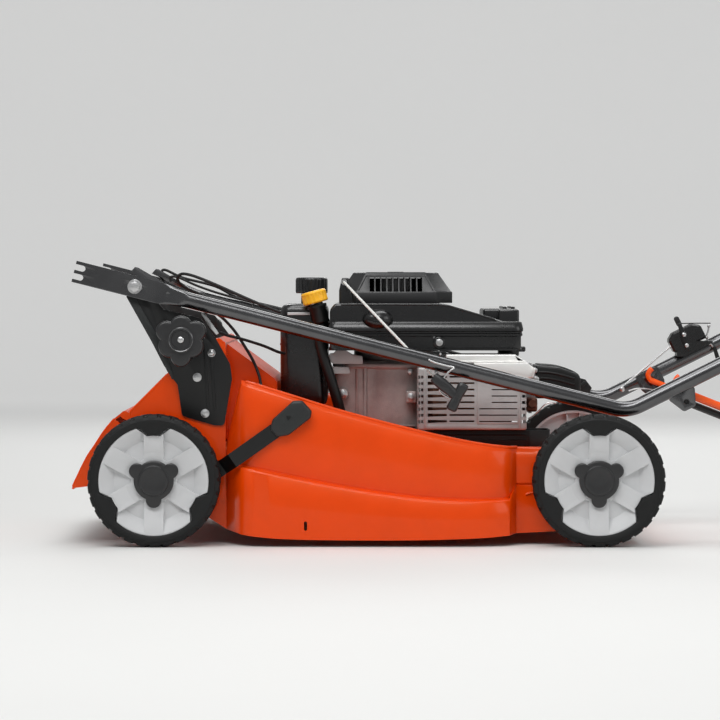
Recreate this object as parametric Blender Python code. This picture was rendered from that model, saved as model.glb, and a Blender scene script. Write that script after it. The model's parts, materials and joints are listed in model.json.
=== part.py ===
"""Walk-behind lawn mower with its handle folded forward over the engine.

Metres, +Z up, front of the mower at +X, its right side at -Y. The ground is z = 0.
Lengthwise places are first written from a datum plane 310.5 mm ahead of the rear
axle, and the whole mower then hangs on one empty that centres it on x = 0.
"""
import math

import bmesh
import bpy
from mathutils import Matrix, Vector

MM = 0.001
GAP = 0.3 * MM

# Wheels
WHEEL_RADIUS = 100 * MM
WHEEL_WIDTH = 40 * MM
TRACK_OUTER = 580 * MM
REAR_AXLE_X = -310.5 * MM
WHEELBASE = 670.5 * MM
TYRE_DEPTH = 16.2 * MM
LOBE_DEPTH = 12 * MM
LOBE_REACH = 15 * MM
SPOKE_COUNT = 6
SPOKE_WIDTH = 29 * MM
HUB_RADIUS = 42 * MM
CAP_RADIUS = 30 * MM
CAP_LOBE_RADIUS = 41 * MM
AXLE_RADIUS = 8 * MM
AXLE_CLEARANCE = 0.5 * MM

# Height adjustment
CRANK_BACK = 52.5 * MM
CRANK_DROP = 17 * MM
CRANK_ROD_RADIUS = 6 * MM
CRANK_ARM_THICK = 5 * MM
CRANK_ARM_CLEARANCE = 7 * MM
CRANK_ARM_HALF = 12 * MM
LINK_ARM = 40 * MM
LINK_THICK = 2.7 * MM
LINK_CLEARANCE = 0.5 * MM
LINK_HALF = 8 * MM
LINK_PIN_RADIUS = 4 * MM
LEVER_ANGLE = math.radians(35.3)
LEVER_LENGTH = 214 * MM
LEVER_HALF = 11.5 * MM
LEVER_INSET = 20 * MM
LEVER_THICK = 4 * MM
LEVER_ROOT = 60 * MM
LEVER_JOG_END = 80 * MM
GRIP_START = 152 * MM
GRIP_END = 236 * MM
GRIP_THICK = 15 * MM

# Deck
DECK_WALL = 3 * MM
PAN_Z = 145 * MM
SKIRT_INSET = 10 * MM
LEDGE_WIDTH = 20 * MM
BAY_CLEARANCE = 1.3 * MM
DECK_REAR_X = -232 * MM
DECK_REAR_STEP = 4.9 * MM
DECK_FRONT_REACH = 70 * MM
BULGE_REAR_X = -180 * MM
BULGE_FRONT_X = 238 * MM

# Rear housing and guard
HOUSING_STEP = 12.6 * MM
HOUSING_WALL = 3 * MM
HOUSING_FRONT_X = -205 * MM
BELT_COVER_HALF = 160 * MM
GUARD_WALL = 3 * MM
GUARD_HINGE = (-359.5 * MM, 196.5 * MM)
GUARD_FOOT = (-439.5 * MM, 84 * MM)
GUARD_ROD_RADIUS = 3 * MM

# Handle
TUBE_RADIUS = 12 * MM
TUBE_CLEARANCE = 1.5 * MM
HANDLE_GRIP_RADIUS = 16.5 * MM
PIVOT = (-342 * MM, 392 * MM)
LOWER_ANGLE = math.radians(-14.2)
LOWER_LENGTH = 771.6 * MM
BEND_RADIUS = 60 * MM
UPPER_ANGLE = math.radians(26.4)
UPPER_LENGTH = 340 * MM
CORNER_RADIUS = 60 * MM
PLATE_OFFSET = 4 * MM
PLATE_THICK = 5 * MM
PLATE_HALF = 16.5 * MM
FORK_REACH = 95 * MM
FORK_SLOT_BOTTOM = 79 * MM
FORK_SLOT_WIDTH = 9 * MM
FORK_SLOT_OFFSET = 7 * MM
CARRIER_TRAVEL = 20 * MM
PIVOT_BOLT_RADIUS = 5 * MM
STUD_RADIUS = 4 * MM
STUD_DISTANCE = 107.6 * MM
STUD_ANGLE = math.radians(-48)
BRACKET_THICK = 2.8 * MM
KNOB_RADIUS = 39 * MM
KNOB_CLEARANCE = 4.5 * MM
KNOB_THICK = 24 * MM
BAIL_RADIUS = 5 * MM
BAIL_DROP = math.radians(47.9)
BRAKE_BAIL_INSET = 26.5 * MM
DRIVE_BAIL_INSET = 39.5 * MM

# Engine
SHAFT_X = 56.5 * MM
SHAFT_RADIUS = 12.5 * MM
BLADE_LENGTH = 528 * MM
BLADE_WIDTH = 55 * MM
BLADE_THICK = 4 * MM
BLADE_Z = 50 * MM
CASE_TOP = 290 * MM
BLOWER_HALF = 140 * MM
BLOWER_TOP = CASE_TOP + 76 * MM
STARTER_BASE_HALF = 87.5 * MM
STARTER_TOP_HALF = 68 * MM
STARTER_HEIGHT = 49 * MM
STARTER_TOP = BLOWER_TOP + STARTER_HEIGHT
STARTER_BAND = 0.29 * STARTER_HEIGHT
SHELL = 2.5 * MM
TANK_HALF = 100 * MM
TANK_TOP = 365 * MM
ROPE_RADIUS = 2 * MM
ROPE_GUIDE_ALONG = 475 * MM
ROPE_POST = (-25 * MM, -68 * MM, 399 * MM)
CABLE_RADIUS = 2.5 * MM

# Places worked out from the sizes above
SIDES = {"right": -1, "left": 1}
FRONT_AXLE_X = REAR_AXLE_X + WHEELBASE
AXLE_Z = WHEEL_RADIUS
REAR_CRANK = (REAR_AXLE_X + CRANK_BACK, AXLE_Z - CRANK_DROP)
FRONT_CRANK = (FRONT_AXLE_X + CRANK_BACK, AXLE_Z - CRANK_DROP)
DECK_FRONT_X = FRONT_AXLE_X + DECK_FRONT_REACH

# Half widths, from the wheels' outer faces inward
WHEEL_FACE = TRACK_OUTER / 2
WHEEL_INNER = WHEEL_FACE - WHEEL_WIDTH
STUB_END = WHEEL_FACE - 12.2 * MM
SKIRT_HALF = WHEEL_FACE - SKIRT_INSET
SIDE_HALF = SKIRT_HALF - LEDGE_WIDTH
LEVER_OUTER = WHEEL_FACE - LEVER_INSET
CRANK_ARM_OUTER = WHEEL_INNER - CRANK_ARM_CLEARANCE
CRANK_ARM_INNER = CRANK_ARM_OUTER - CRANK_ARM_THICK
LINK_INNER = CRANK_ARM_INNER - LINK_CLEARANCE - LINK_THICK
BAY_HALF = LINK_INNER - BAY_CLEARANCE
HOUSING_HALF = BAY_HALF - HOUSING_STEP
DECK_REAR_HALF = HOUSING_HALF - DECK_REAR_STEP
BRACKET_INNER = HOUSING_HALF + GAP
TUBE_Y = WHEEL_INNER - TUBE_CLEARANCE - TUBE_RADIUS
PLATE_Y = TUBE_Y - PLATE_OFFSET
KNOB_INNER = TUBE_Y + TUBE_RADIUS + KNOB_CLEARANCE


def polar(origin, angle, distance):
    """A point in the side view, at a distance and angle from another."""
    return (origin[0] + distance * math.cos(angle), origin[1] + distance * math.sin(angle))


def beside(origin, angle, along, across):
    """A point along a direction, and then across it to its left."""
    return polar(polar(origin, angle, along), angle + math.pi / 2, across)


STUD = polar(PIVOT, STUD_ANGLE, STUD_DISTANCE)
BEND = polar(PIVOT, LOWER_ANGLE, LOWER_LENGTH)
HANDLE_TOP = polar(BEND, UPPER_ANGLE, UPPER_LENGTH)
BRAKE_BAIL_PIVOT = beside(BEND, UPPER_ANGLE, 86 * MM, -6 * MM)
DRIVE_BAIL_PIVOT = beside(BEND, UPPER_ANGLE, 88 * MM, -28 * MM)
BRACKET_OUTER = BRACKET_INNER + BRACKET_THICK
REAR_END = beside(PIVOT, LOWER_ANGLE, -FORK_REACH, -PLATE_HALF)[0]
FRONT_END = HANDLE_TOP[0] + HANDLE_GRIP_RADIUS
CENTRE_X = (min(REAR_END, GUARD_FOOT[0]) + FRONT_END) / 2


def clear_scene():
    for obj in list(bpy.data.objects):
        bpy.data.objects.remove(obj, do_unlink=True)


def material(name, colour, roughness, metallic=0.0):
    made = bpy.data.materials.new(name)
    made.use_nodes = True
    shader = made.node_tree.nodes["Principled BSDF"]
    shader.inputs["Base Color"].default_value = (*colour, 1)
    shader.inputs["Roughness"].default_value = roughness
    shader.inputs["Metallic"].default_value = metallic
    made.diffuse_color = (*colour, 1)
    return made


# Solids from bmesh

def solid(bm):
    """Turn a closed bmesh into a loose object with its faces pointing out."""
    bmesh.ops.recalc_face_normals(bm, faces=bm.faces[:])
    mesh = bpy.data.meshes.new("piece")
    bm.to_mesh(mesh)
    bm.free()
    obj = bpy.data.objects.new("piece", mesh)
    bpy.context.scene.collection.objects.link(obj)
    return obj


def lofted(rings, ring_closed=False):
    """Skin a row of rings with as many points each, capped or joined end to end."""
    bm = bmesh.new()
    rows = [[bm.verts.new(point) for point in ring] for ring in rings]
    count = len(rows[0])
    pairs = list(zip(rows, rows[1:]))
    if ring_closed:
        pairs.append((rows[-1], rows[0]))
    for low, high in pairs:
        for k in range(count):
            bm.faces.new((low[k], low[(k + 1) % count], high[(k + 1) % count], high[k]))
    if not ring_closed:
        bm.faces.new(rows[0][::-1])
        bm.faces.new(rows[-1])
    return solid(bm)


def lift(point, axis, height):
    """Place a flat point on the plane square to an axis, at a height along it."""
    if axis == "X":
        return (height, point[0], point[1])
    if axis == "Y":
        return (point[0], height, point[1])
    return (point[0], point[1], height)


def prism(outline, axis, low, high):
    """A flat outline pushed along an axis from one height to another."""
    return lofted([[lift(point, axis, height) for point in outline] for height in (low, high)])


def block(x, y, z):
    corners = [(x[0], z[0]), (x[1], z[0]), (x[1], z[1]), (x[0], z[1])]
    return prism(corners, "Y", y[0], y[1])


def circle(centre, radius, sides, start=0.0):
    return [polar(centre, start + 2 * math.pi * k / sides, radius) for k in range(sides)]


def arc(centre, radius, first, last, steps):
    """Points on a circle from one angle in degrees to another."""
    return [polar(centre, math.radians(first + (last - first) * k / steps), radius)
            for k in range(steps + 1)]


def rod(centre, radius, axis, low, high, sides=16):
    return prism(circle(centre, radius, sides), axis, low, high)


def turned(profile, centre, axis, sides=24):
    """Spin a closed outline of (radius, height) points clear of the axis into a ring."""
    rings = []
    for k in range(sides):
        angle = 2 * math.pi * k / sides
        rings.append([lift(polar(centre, angle, radius), axis, height) for radius, height in profile])
    return lofted(rings, ring_closed=True)


def stacked(profile, centre, axis, sides=24):
    """Circles of (radius, height) stacked along an axis into a solid with flat ends."""
    return lofted([[lift(p, axis, height) for p in circle(centre, radius, sides)]
                   for radius, height in profile])


def capsule(first, last, half, steps=4):
    """The outline of a bar with round ends between two centres."""
    heading = math.degrees(math.atan2(last[1] - first[1], last[0] - first[0]))
    return (arc(last, half, heading - 90, heading + 90, steps)
            + arc(first, half, heading + 90, heading + 270, steps))


def strip(points, thickness):
    """The outline of a sheet whose outer face follows the points, with its wall to the right."""
    inner = []
    for k, point in enumerate(points):
        before = points[max(k - 1, 0)]
        after = points[min(k + 1, len(points) - 1)]
        heading = math.atan2(after[1] - before[1], after[0] - before[0])
        inner.append(polar(point, heading - math.pi / 2, thickness))
    return list(points) + inner[::-1]


def round_rings(path, radius, sides, side=None):
    """Circles of points square to a path, turning as little as they can along it."""
    path = [Vector(point) for point in path]
    tangents = []
    for k in range(len(path)):
        before = path[max(k - 1, 0)]
        after = path[min(k + 1, len(path) - 1)]
        tangents.append((after - before).normalized())
    side = side or tangents[0].orthogonal().normalized()
    rings = []
    for point, tangent in zip(path, tangents):
        side = (side - tangent * side.dot(tangent)).normalized()
        other = tangent.cross(side)
        rings.append([point + radius * (math.cos(a) * side + math.sin(a) * other)
                      for a in (2 * math.pi * (k + 0.5) / sides for k in range(sides))])
    return rings


def swept(path, radius, sides=12):
    """A round tube or wire along a path of points."""
    return lofted(round_rings(path, radius, sides))


def rounded_path(points, radius, steps=5):
    """Swap each inner corner of a path for an arc of the given radius."""
    points = [Vector(point) for point in points]
    made = [points[0]]
    for before, corner, after in zip(points, points[1:], points[2:]):
        back = (before - corner).normalized()
        ahead = (after - corner).normalized()
        half = back.angle(ahead) / 2
        reach = radius / math.tan(half)
        centre = corner + (back + ahead).normalized() * (radius / math.sin(half))
        start = (corner + back * reach - centre).normalized()
        end = (corner + ahead * reach - centre).normalized()
        made += [centre + radius * start.slerp(end, k / steps) for k in range(steps + 1)]
    made.append(points[-1])
    return made


def smooth_path(points, steps=4):
    """Points on a smooth curve through the points of a route."""
    points = [Vector(point) for point in points]
    ends = [points[0] * 2 - points[1]] + points + [points[-1] * 2 - points[-2]]
    made = []
    for a, b, c, d in zip(ends, ends[1:], ends[2:], ends[3:]):
        for k in range(steps):
            t = k / steps
            made.append(0.5 * (2 * b + (c - a) * t + (2 * a - 5 * b + 4 * c - d) * t * t
                               + (3 * b - a - 3 * c + d) * t * t * t))
    return made + [points[-1]]


def combined(first, second, operation):
    """Apply a Boolean of two loose objects to the first and drop the second."""
    modifier = first.modifiers.new("Boolean", "BOOLEAN")
    modifier.operation = operation
    modifier.object = second
    seen = first.evaluated_get(bpy.context.evaluated_depsgraph_get())
    mesh = bpy.data.meshes.new_from_object(seen)
    first.modifiers.clear()
    first.data = mesh
    bpy.data.objects.remove(second, do_unlink=True)
    return first


def joined(first, *others):
    for other in others:
        first = combined(first, other, "UNION")
    return first


def cut(first, *others):
    for other in others:
        first = combined(first, other, "DIFFERENCE")
    return first


def bevelled(obj, width, segments=1):
    """Round the sharp edges of a loose object."""
    bevel = obj.modifiers.new("Bevel", "BEVEL")
    bevel.width = width
    bevel.segments = segments
    bevel.limit_method = "ANGLE"
    bevel.angle_limit = math.radians(40)
    bevel.use_clamp_overlap = True
    seen = obj.evaluated_get(bpy.context.evaluated_depsgraph_get())
    mesh = bpy.data.meshes.new_from_object(seen)
    obj.modifiers.clear()
    obj.data = mesh
    return obj


# Bodies are empties on their joint's axis, and nodes hang on them

PLACES = {}


def body(name, place, parent=None):
    """An empty at a datum place, under its parent body."""
    empty = bpy.data.objects.new(name, None)
    empty.empty_display_size = 0.03
    bpy.context.scene.collection.objects.link(empty)
    PLACES[name] = Vector(place)
    if parent is None:
        empty.location = Vector(place) - Vector((CENTRE_X, 0, 0))
    else:
        empty.parent = parent
        empty.location = Vector(place) - PLACES[parent.name]
    return empty


def node(obj, name, finish, carrier, smooth=True):
    """Name a loose object, give it its material and hang it on its body."""
    obj.name = name
    obj.data.name = name
    obj.data.transform(Matrix.Translation(-PLACES[carrier.name]))
    obj.parent = carrier
    obj.data.materials.clear()
    obj.data.materials.append(finish)
    if smooth:
        obj.data.shade_smooth()
        obj.data.set_sharp_from_angle(angle=math.radians(35))
    return obj


# Wheels

def wheel_angles():
    """Angles round a wheel: each spoke's flat, its two walls and the middle of each pocket."""
    sector = 360 / SPOKE_COUNT
    offsets = (-16, -12, 0, 12, 16, sector / 2)
    return [(30 + sector * k + offset, offset) for k in range(SPOKE_COUNT) for offset in offsets]


def in_lobe(degrees, offset):
    """Whether this angle is on one of the three rubber lobes, at 90, 210 and 330 degrees."""
    spoke = round((degrees - offset - 30) / 60)
    return spoke % 2 == 1 and abs(offset) <= 12


def wheel_ring(profile_at, centre, side):
    """Spin a profile of (radius, depth from the outer face) that changes with the angle."""
    rings = []
    for degrees, offset in wheel_angles():
        ring = [polar(centre, math.radians(degrees), radius) + (depth,)
                for radius, depth in profile_at(degrees, offset)]
        rings.append([(x, side * (WHEEL_FACE - depth), z) for x, z, depth in ring])
    return lofted(rings, ring_closed=True)


def lip_radius(degrees, offset):
    inner = WHEEL_RADIUS - TYRE_DEPTH
    return inner - LOBE_REACH if in_lobe(degrees, offset) else inner - 1 * MM


def tyre_profile(degrees, offset):
    inner = WHEEL_RADIUS - TYRE_DEPTH
    lip = lip_radius(degrees, offset)
    return [(lip, 1.5 * MM), (WHEEL_RADIUS - 8 * MM, 0), (WHEEL_RADIUS, 7 * MM),
            (WHEEL_RADIUS, WHEEL_WIDTH - 7 * MM), (WHEEL_RADIUS - 8 * MM, WHEEL_WIDTH),
            (inner, WHEEL_WIDTH - 0.5 * MM), (inner, LOBE_DEPTH), (lip, LOBE_DEPTH)]


def rim_profile(degrees, offset):
    barrel = WHEEL_RADIUS - TYRE_DEPTH - GAP
    lip = lip_radius(degrees, offset) - GAP
    spoke = abs(offset) <= 12
    bore = AXLE_RADIUS + AXLE_CLEARANCE
    outer = min(barrel - 10 * MM, lip - 2 * MM)
    return [(bore, 12 * MM), (HUB_RADIUS, 12 * MM),
            (HUB_RADIUS + 1 * MM, 11.9 * MM if spoke else 19 * MM),
            (outer - 3.5 * MM, 5 * MM if spoke else 18.5 * MM), (outer, 4.5 * MM), (lip, 3 * MM),
            (lip, LOBE_DEPTH + GAP), (barrel, LOBE_DEPTH + GAP), (barrel, WHEEL_WIDTH - 1 * MM),
            (barrel - 4 * MM, WHEEL_WIDTH - 1 * MM), (barrel - 4 * MM, 27.5 * MM), (bore, 27.5 * MM)]


def cap_outline(centre, scale):
    """A disc with three round lobes, at 30, 150 and 270 degrees."""
    points = []
    for lobe in range(3):
        for offset in (-28, -18, 0, 18, 28, 60):
            radius = {0: CAP_LOBE_RADIUS, 18: CAP_LOBE_RADIUS - 3 * MM}.get(abs(offset), CAP_RADIUS)
            points.append(polar(centre, math.radians(30 + 120 * lobe + offset), radius * scale))
    return points


def hub_cap(centre, side):
    def ring(outline, depth):
        return [(x, side * (WHEEL_FACE - depth), z) for x, z in outline]
    disc = [polar(centre, math.radians(30 + 120 * lobe + offset), CAP_RADIUS * 0.72)
            for lobe in range(3) for offset in (-28, -18, 0, 18, 28, 60)]
    return lofted([ring(cap_outline(centre, 1), 11.7 * MM), ring(cap_outline(centre, 1), 5.5 * MM),
                   ring(cap_outline(centre, 0.92), 4 * MM), ring(disc, 4 * MM),
                   ring(disc, 2 * MM)])


def make_wheel(name, axle, side, crank, looks):
    centre = (axle, AXLE_Z)
    hub = body(name + "_axis", (axle, side * WHEEL_FACE, AXLE_Z), crank)
    node(wheel_ring(tyre_profile, centre, side), name + "_tyre", looks["rubber"], hub)
    node(wheel_ring(rim_profile, centre, side), name + "_rim", looks["rim"], hub)
    node(hub_cap(centre, side), name + "_cap", looks["charcoal"], hub)


# Height adjustment: two cranks, the link between them, and the lever

def crank_plate(pivot, axle, side, link_pin):
    """The arm from a cross rod to its axle, with the link's pin arm on the left side."""
    low, high = sorted((side * CRANK_ARM_INNER, side * CRANK_ARM_OUTER))
    plate = prism(capsule(pivot, axle, CRANK_ARM_HALF), "Y", low, high)
    if link_pin:
        pin = polar(pivot, math.pi / 2, LINK_ARM)
        plate = joined(plate, prism(capsule(pivot, pin, CRANK_ARM_HALF * 0.75), "Y", low, high),
                       rod(pin, LINK_PIN_RADIUS, "Y", LINK_INNER - 1.5 * MM, high - 1 * MM, 14))
    return plate


def make_crank(name, pivot, axle_x, parent, looks, with_stubs):
    carrier = body(name + "_axis", (pivot[0], 0, pivot[1]), parent)
    crank = rod(pivot, CRANK_ROD_RADIUS, "Y", -CRANK_ARM_OUTER + 1 * MM, CRANK_ARM_OUTER - 1 * MM, 16)
    axle = (axle_x, AXLE_Z)
    for side in SIDES.values():
        plate = crank_plate(pivot, axle, side, side > 0)
        if with_stubs:
            ends = sorted((side * (CRANK_ARM_INNER + 1 * MM), side * STUB_END))
            plate = joined(plate, rod(axle, AXLE_RADIUS, "Y", *ends))
        else:
            ends = (side * 0.2, side * 0.3)
            bore = rod(axle, AXLE_RADIUS + AXLE_CLEARANCE, "Y", min(ends), max(ends))
            plate = cut(plate, bore)
        crank = joined(crank, plate)
    node(crank, name, looks["steel"], carrier)
    return carrier


def lever_route():
    """(distance from the pivot, inner face) of the lever's bar, which steps out past the wheel."""
    root = BAY_HALF + 1 * MM
    return [(LEVER_ROOT, root), (LEVER_JOG_END, LEVER_OUTER - LEVER_THICK),
            (LEVER_LENGTH, LEVER_OUTER - LEVER_THICK)]


def make_lever(carrier, looks):
    """A flat bar in a vertical plane, from the cross rod to its grip."""
    root = BAY_HALF + 1 * MM
    thick = LINK_THICK
    start = polar(REAR_CRANK, LEVER_ANGLE, LEVER_ROOT)
    plate = prism(capsule(REAR_CRANK, start, LEVER_HALF), "Y", -root - thick, -root)
    rings = []
    for along, inner in [(LEVER_ROOT - 4 * MM, root)] + lever_route():
        wall = thick if inner == root else LEVER_THICK
        ring = [(-inner, -LEVER_HALF), (-inner - wall, -LEVER_HALF),
                (-inner - wall, LEVER_HALF), (-inner, LEVER_HALF)]
        rings.append([(x, y, z) for y, across in ring
                      for x, z in [beside(REAR_CRANK, LEVER_ANGLE, along, across)]])
    lever = joined(plate, lofted(rings))
    bore = rod(REAR_CRANK, CRANK_ROD_RADIUS + GAP, "Y", -0.3, -0.2)
    node(cut(lever, bore), "height_lever", looks["black"], carrier)

    first = polar(REAR_CRANK, LEVER_ANGLE, GRIP_START + LEVER_HALF)
    last = polar(REAR_CRANK, LEVER_ANGLE, GRIP_END - 15 * MM)
    outline = capsule(first, last, 15 * MM)
    middle = LEVER_OUTER - LEVER_THICK / 2
    grip = bevelled(prism(outline, "Y", -middle - GRIP_THICK / 2, -middle + GRIP_THICK / 2), 4 * MM)
    pocket = []
    for along in (GRIP_START - 5 * MM, LEVER_LENGTH + GAP):
        reach = LEVER_HALF + GAP
        wall = LEVER_THICK / 2 + GAP
        ring = [(-middle - wall, -reach), (-middle + wall, -reach),
                (-middle + wall, reach), (-middle - wall, reach)]
        pocket.append([(x, y, z) for y, across in ring
                       for x, z in [beside(REAR_CRANK, LEVER_ANGLE, along, across)]])
    node(cut(grip, lofted(pocket)), "lever_grip", looks["slate"], carrier)


def make_link(carrier, looks):
    """The bar that ties the front crank to the rear one, with a hole over each pin."""
    rear = polar(REAR_CRANK, math.pi / 2, LINK_ARM)
    front = polar(FRONT_CRANK, math.pi / 2, LINK_ARM)
    bar = prism(capsule(rear, front, LINK_HALF), "Y", LINK_INNER, LINK_INNER + LINK_THICK)
    holes = [rod(rear, LINK_PIN_RADIUS + GAP, "Y", 0.2, 0.3),
             rod(front, LINK_PIN_RADIUS + 0.6 * MM, "Y", 0.2, 0.3)]
    node(cut(bar, *holes), "lift_link", looks["steel"], carrier)


def make_drive(crank, looks):
    """The gearbox that hangs on the rear axle, and the shaft that turns both rear wheels."""
    axle = (REAR_AXLE_X, AXLE_Z)
    case = bevelled(block((REAR_AXLE_X - 32 * MM, REAR_AXLE_X + 34 * MM), (-45 * MM, 45 * MM),
                          (AXLE_Z - 26 * MM, AXLE_Z + 30 * MM)), 4 * MM)
    case = joined(case, rod(axle, 19 * MM, "Y", -110 * MM, 110 * MM, 16))
    case = cut(case, rod(axle, AXLE_RADIUS + GAP, "Y", -0.2, 0.2))
    node(case, "drive_gearbox", looks["cast"], crank)
    carrier = body("drive_shaft_axis", (REAR_AXLE_X, 0, AXLE_Z), crank)
    node(rod(axle, AXLE_RADIUS, "Y", -STUB_END, STUB_END), "drive_shaft", looks["steel"], carrier)


# Deck

def deck_stations():
    """(x, skirt bottom, skirt half width, ledge height, side half width, ridge height)."""
    rear = BULGE_REAR_X
    front = BULGE_FRONT_X
    bay_top = BAY_HALF - 1 * MM
    return [
        (DECK_REAR_X, 40 * MM, DECK_REAR_HALF, 117 * MM, DECK_REAR_HALF - 0.5 * MM, 156 * MM),
        (rear - 24 * MM, 22 * MM, DECK_REAR_HALF, 117 * MM, DECK_REAR_HALF - 0.5 * MM, 156 * MM),
        (rear, 18 * MM, SKIRT_HALF - 12 * MM, 118 * MM, SIDE_HALF - 10 * MM, 250 * MM),
        (rear + 14 * MM, 16 * MM, SKIRT_HALF - 4 * MM, 116 * MM, SIDE_HALF - 3 * MM, 247 * MM),
        (rear + 60 * MM, 12 * MM, SKIRT_HALF, 106.5 * MM, SIDE_HALF, 233 * MM),
        (-33 * MM, 10 * MM, SKIRT_HALF, 89 * MM, SIDE_HALF, 206 * MM),
        (81 * MM, 10 * MM, SKIRT_HALF, 72 * MM, SIDE_HALF, 176 * MM),
        (158 * MM, 12 * MM, SKIRT_HALF, 67 * MM, SIDE_HALF, 159 * MM),
        (front - 38 * MM, 14 * MM, SKIRT_HALF - 5 * MM, 67.5 * MM, SIDE_HALF - 3 * MM, 152 * MM),
        (front - 12 * MM, 16 * MM, SKIRT_HALF - 15 * MM, 68 * MM, SIDE_HALF - 12 * MM, 149 * MM),
        (front, 17 * MM, BAY_HALF, 90 * MM, bay_top, 148.5 * MM),
        (front + 62 * MM, 20 * MM, BAY_HALF, 90 * MM, bay_top, 147.5 * MM),
        (DECK_FRONT_X - 30 * MM, 24 * MM, BAY_HALF - 4 * MM, 90 * MM, bay_top - 4 * MM, 130 * MM),
        (DECK_FRONT_X, 32 * MM, BAY_HALF - 14 * MM, 85 * MM, bay_top - 14 * MM, 112 * MM)]


def deck_section(station, wall):
    """Half of a section, from the skirt over the ridge to the pan, pushed in by a wall."""
    x, bottom, skirt, ledge, side, ridge = station
    pan = min(PAN_Z, ridge - 6 * MM)
    if wall:
        bottom -= 10 * MM
        pan -= wall
    return [(skirt - wall, bottom), (skirt - wall, ledge - wall * 0.6),
            (side - wall, ledge + 5 * MM - wall * 0.6), (side - 4 * MM - wall, ridge - 9 * MM - wall * 0.4),
            (side - 9 * MM - wall * 0.6, ridge - wall), (side - 19 * MM + wall * 0.6, ridge - wall),
            (side - 25 * MM + wall, ridge - 8 * MM - wall * 0.4 if ridge - 12 * MM > pan else pan),
            (side - 26 * MM + wall, pan)]


def deck_solid(stations, wall):
    rings = []
    for station in stations:
        half = deck_section(station, wall)
        rings.append([(station[0], y, z) for y, z in half]
                     + [(station[0], -y, z) for y, z in half[::-1]])
    return lofted(rings)


def inside_x(x):
    """Where a station's inside lies: a wall in from the ends and from both flares."""
    if x < BULGE_REAR_X + 20 * MM:
        return x + DECK_WALL
    if BULGE_FRONT_X - 20 * MM < x <= BULGE_FRONT_X or x == DECK_FRONT_X:
        return x - DECK_WALL
    return x


def make_deck(base, looks):
    """A pressed shell: its outside, less its inside, with holes for rods, link and shaft."""
    stations = deck_stations()
    inside = [(inside_x(station[0]),) + station[1:] for station in stations]
    deck = cut(deck_solid(stations, 0), deck_solid(inside, DECK_WALL))
    slot_low = REAR_CRANK[1] + LINK_ARM - 20 * MM
    slot_high = REAR_CRANK[1] + LINK_ARM + 12 * MM
    link_y = (LINK_INNER - 3 * MM, LINK_INNER + LINK_THICK + 3 * MM)
    deck = cut(
        deck,
        rod(FRONT_CRANK, CRANK_ROD_RADIUS + 1 * MM, "Y", -0.3, 0.3),
        rod((SHAFT_X, 0), 40 * MM, "Z", 0.1, 0.2, 32),
        block((BULGE_REAR_X - 26 * MM, BULGE_REAR_X + 16 * MM), link_y, (slot_low, slot_high)),
        block((BULGE_FRONT_X - 30 * MM, BULGE_FRONT_X + 2 * MM), link_y, (slot_low, slot_high)),
        block((DECK_REAR_X - 10 * MM, DECK_REAR_X + 10 * MM), (-50 * MM, 50 * MM),
              (112 * MM, 132 * MM)))
    node(deck, "mower_deck", looks["orange"], base)


# Rear housing with its guard

def make_housing(base, looks):
    """The hood behind the deck: side walls that carry the rear rod, and the belt cover ahead."""
    front = HOUSING_FRONT_X
    half = HOUSING_HALF
    wall = HOUSING_WALL
    inner = half - wall
    foot = REAR_CRANK[1] - 17 * MM
    wide = [(front, foot), (front, 306 * MM), (front - 10.5 * MM, 314 * MM), (-295 * MM, 257 * MM),
            (-352 * MM, 200 * MM), (-352 * MM, 130 * MM), (-290 * MM, 130 * MM),
            (REAR_CRANK[0] - 26 * MM, foot)]
    cavity = [(front - wall, foot - 10 * MM), (front - wall, 303.5 * MM), (front - 10.2 * MM, 310 * MM),
              (-293.4 * MM, 254 * MM), (-349 * MM, 198.5 * MM), (-349 * MM, 175 * MM),
              (-360 * MM, 175 * MM), (-360 * MM, foot - 10 * MM)]
    top = SHAFT_X - 189 * MM
    cover = [(front - 10 * MM, PAN_Z + GAP), (front - 10 * MM, 311 * MM), (top, 250.5 * MM),
             (top + 4 * MM, 244 * MM), (top + 4 * MM, PAN_Z + GAP)]
    cover_inside = [(front - 20 * MM, foot), (front - 20 * MM, 303 * MM), (front - 4 * MM, 302 * MM),
                    (top - 1 * MM, 246.5 * MM), (top + 1 * MM, 243 * MM), (top + 1 * MM, foot)]
    shell = joined(prism(wide, "Y", -half, half),
                   prism(cover, "Y", -BELT_COVER_HALF, BELT_COVER_HALF))
    clear_deck = block((front - 5 * MM, front + 5 * MM), (-inner, inner), (foot - 10 * MM, 158 * MM))
    shell = cut(shell, prism(cavity, "Y", -inner, inner),
                prism(cover_inside, "Y", -BELT_COVER_HALF + wall, BELT_COVER_HALF - wall))
    shell = cut(shell, clear_deck,
                rod(REAR_CRANK, CRANK_ROD_RADIUS + 1 * MM, "Y", -0.3, 0.3))
    ear = capsule(GUARD_HINGE, (-345 * MM, 190 * MM), 6 * MM, 4)
    for side in SIDES.values():
        low, high = sorted((side * (inner - 0.2 * MM), side * (half - GAP)))
        shell = joined(shell, prism(ear, "Y", low, high))
    node(shell, "rear_housing", looks["orange"], base)


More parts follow.
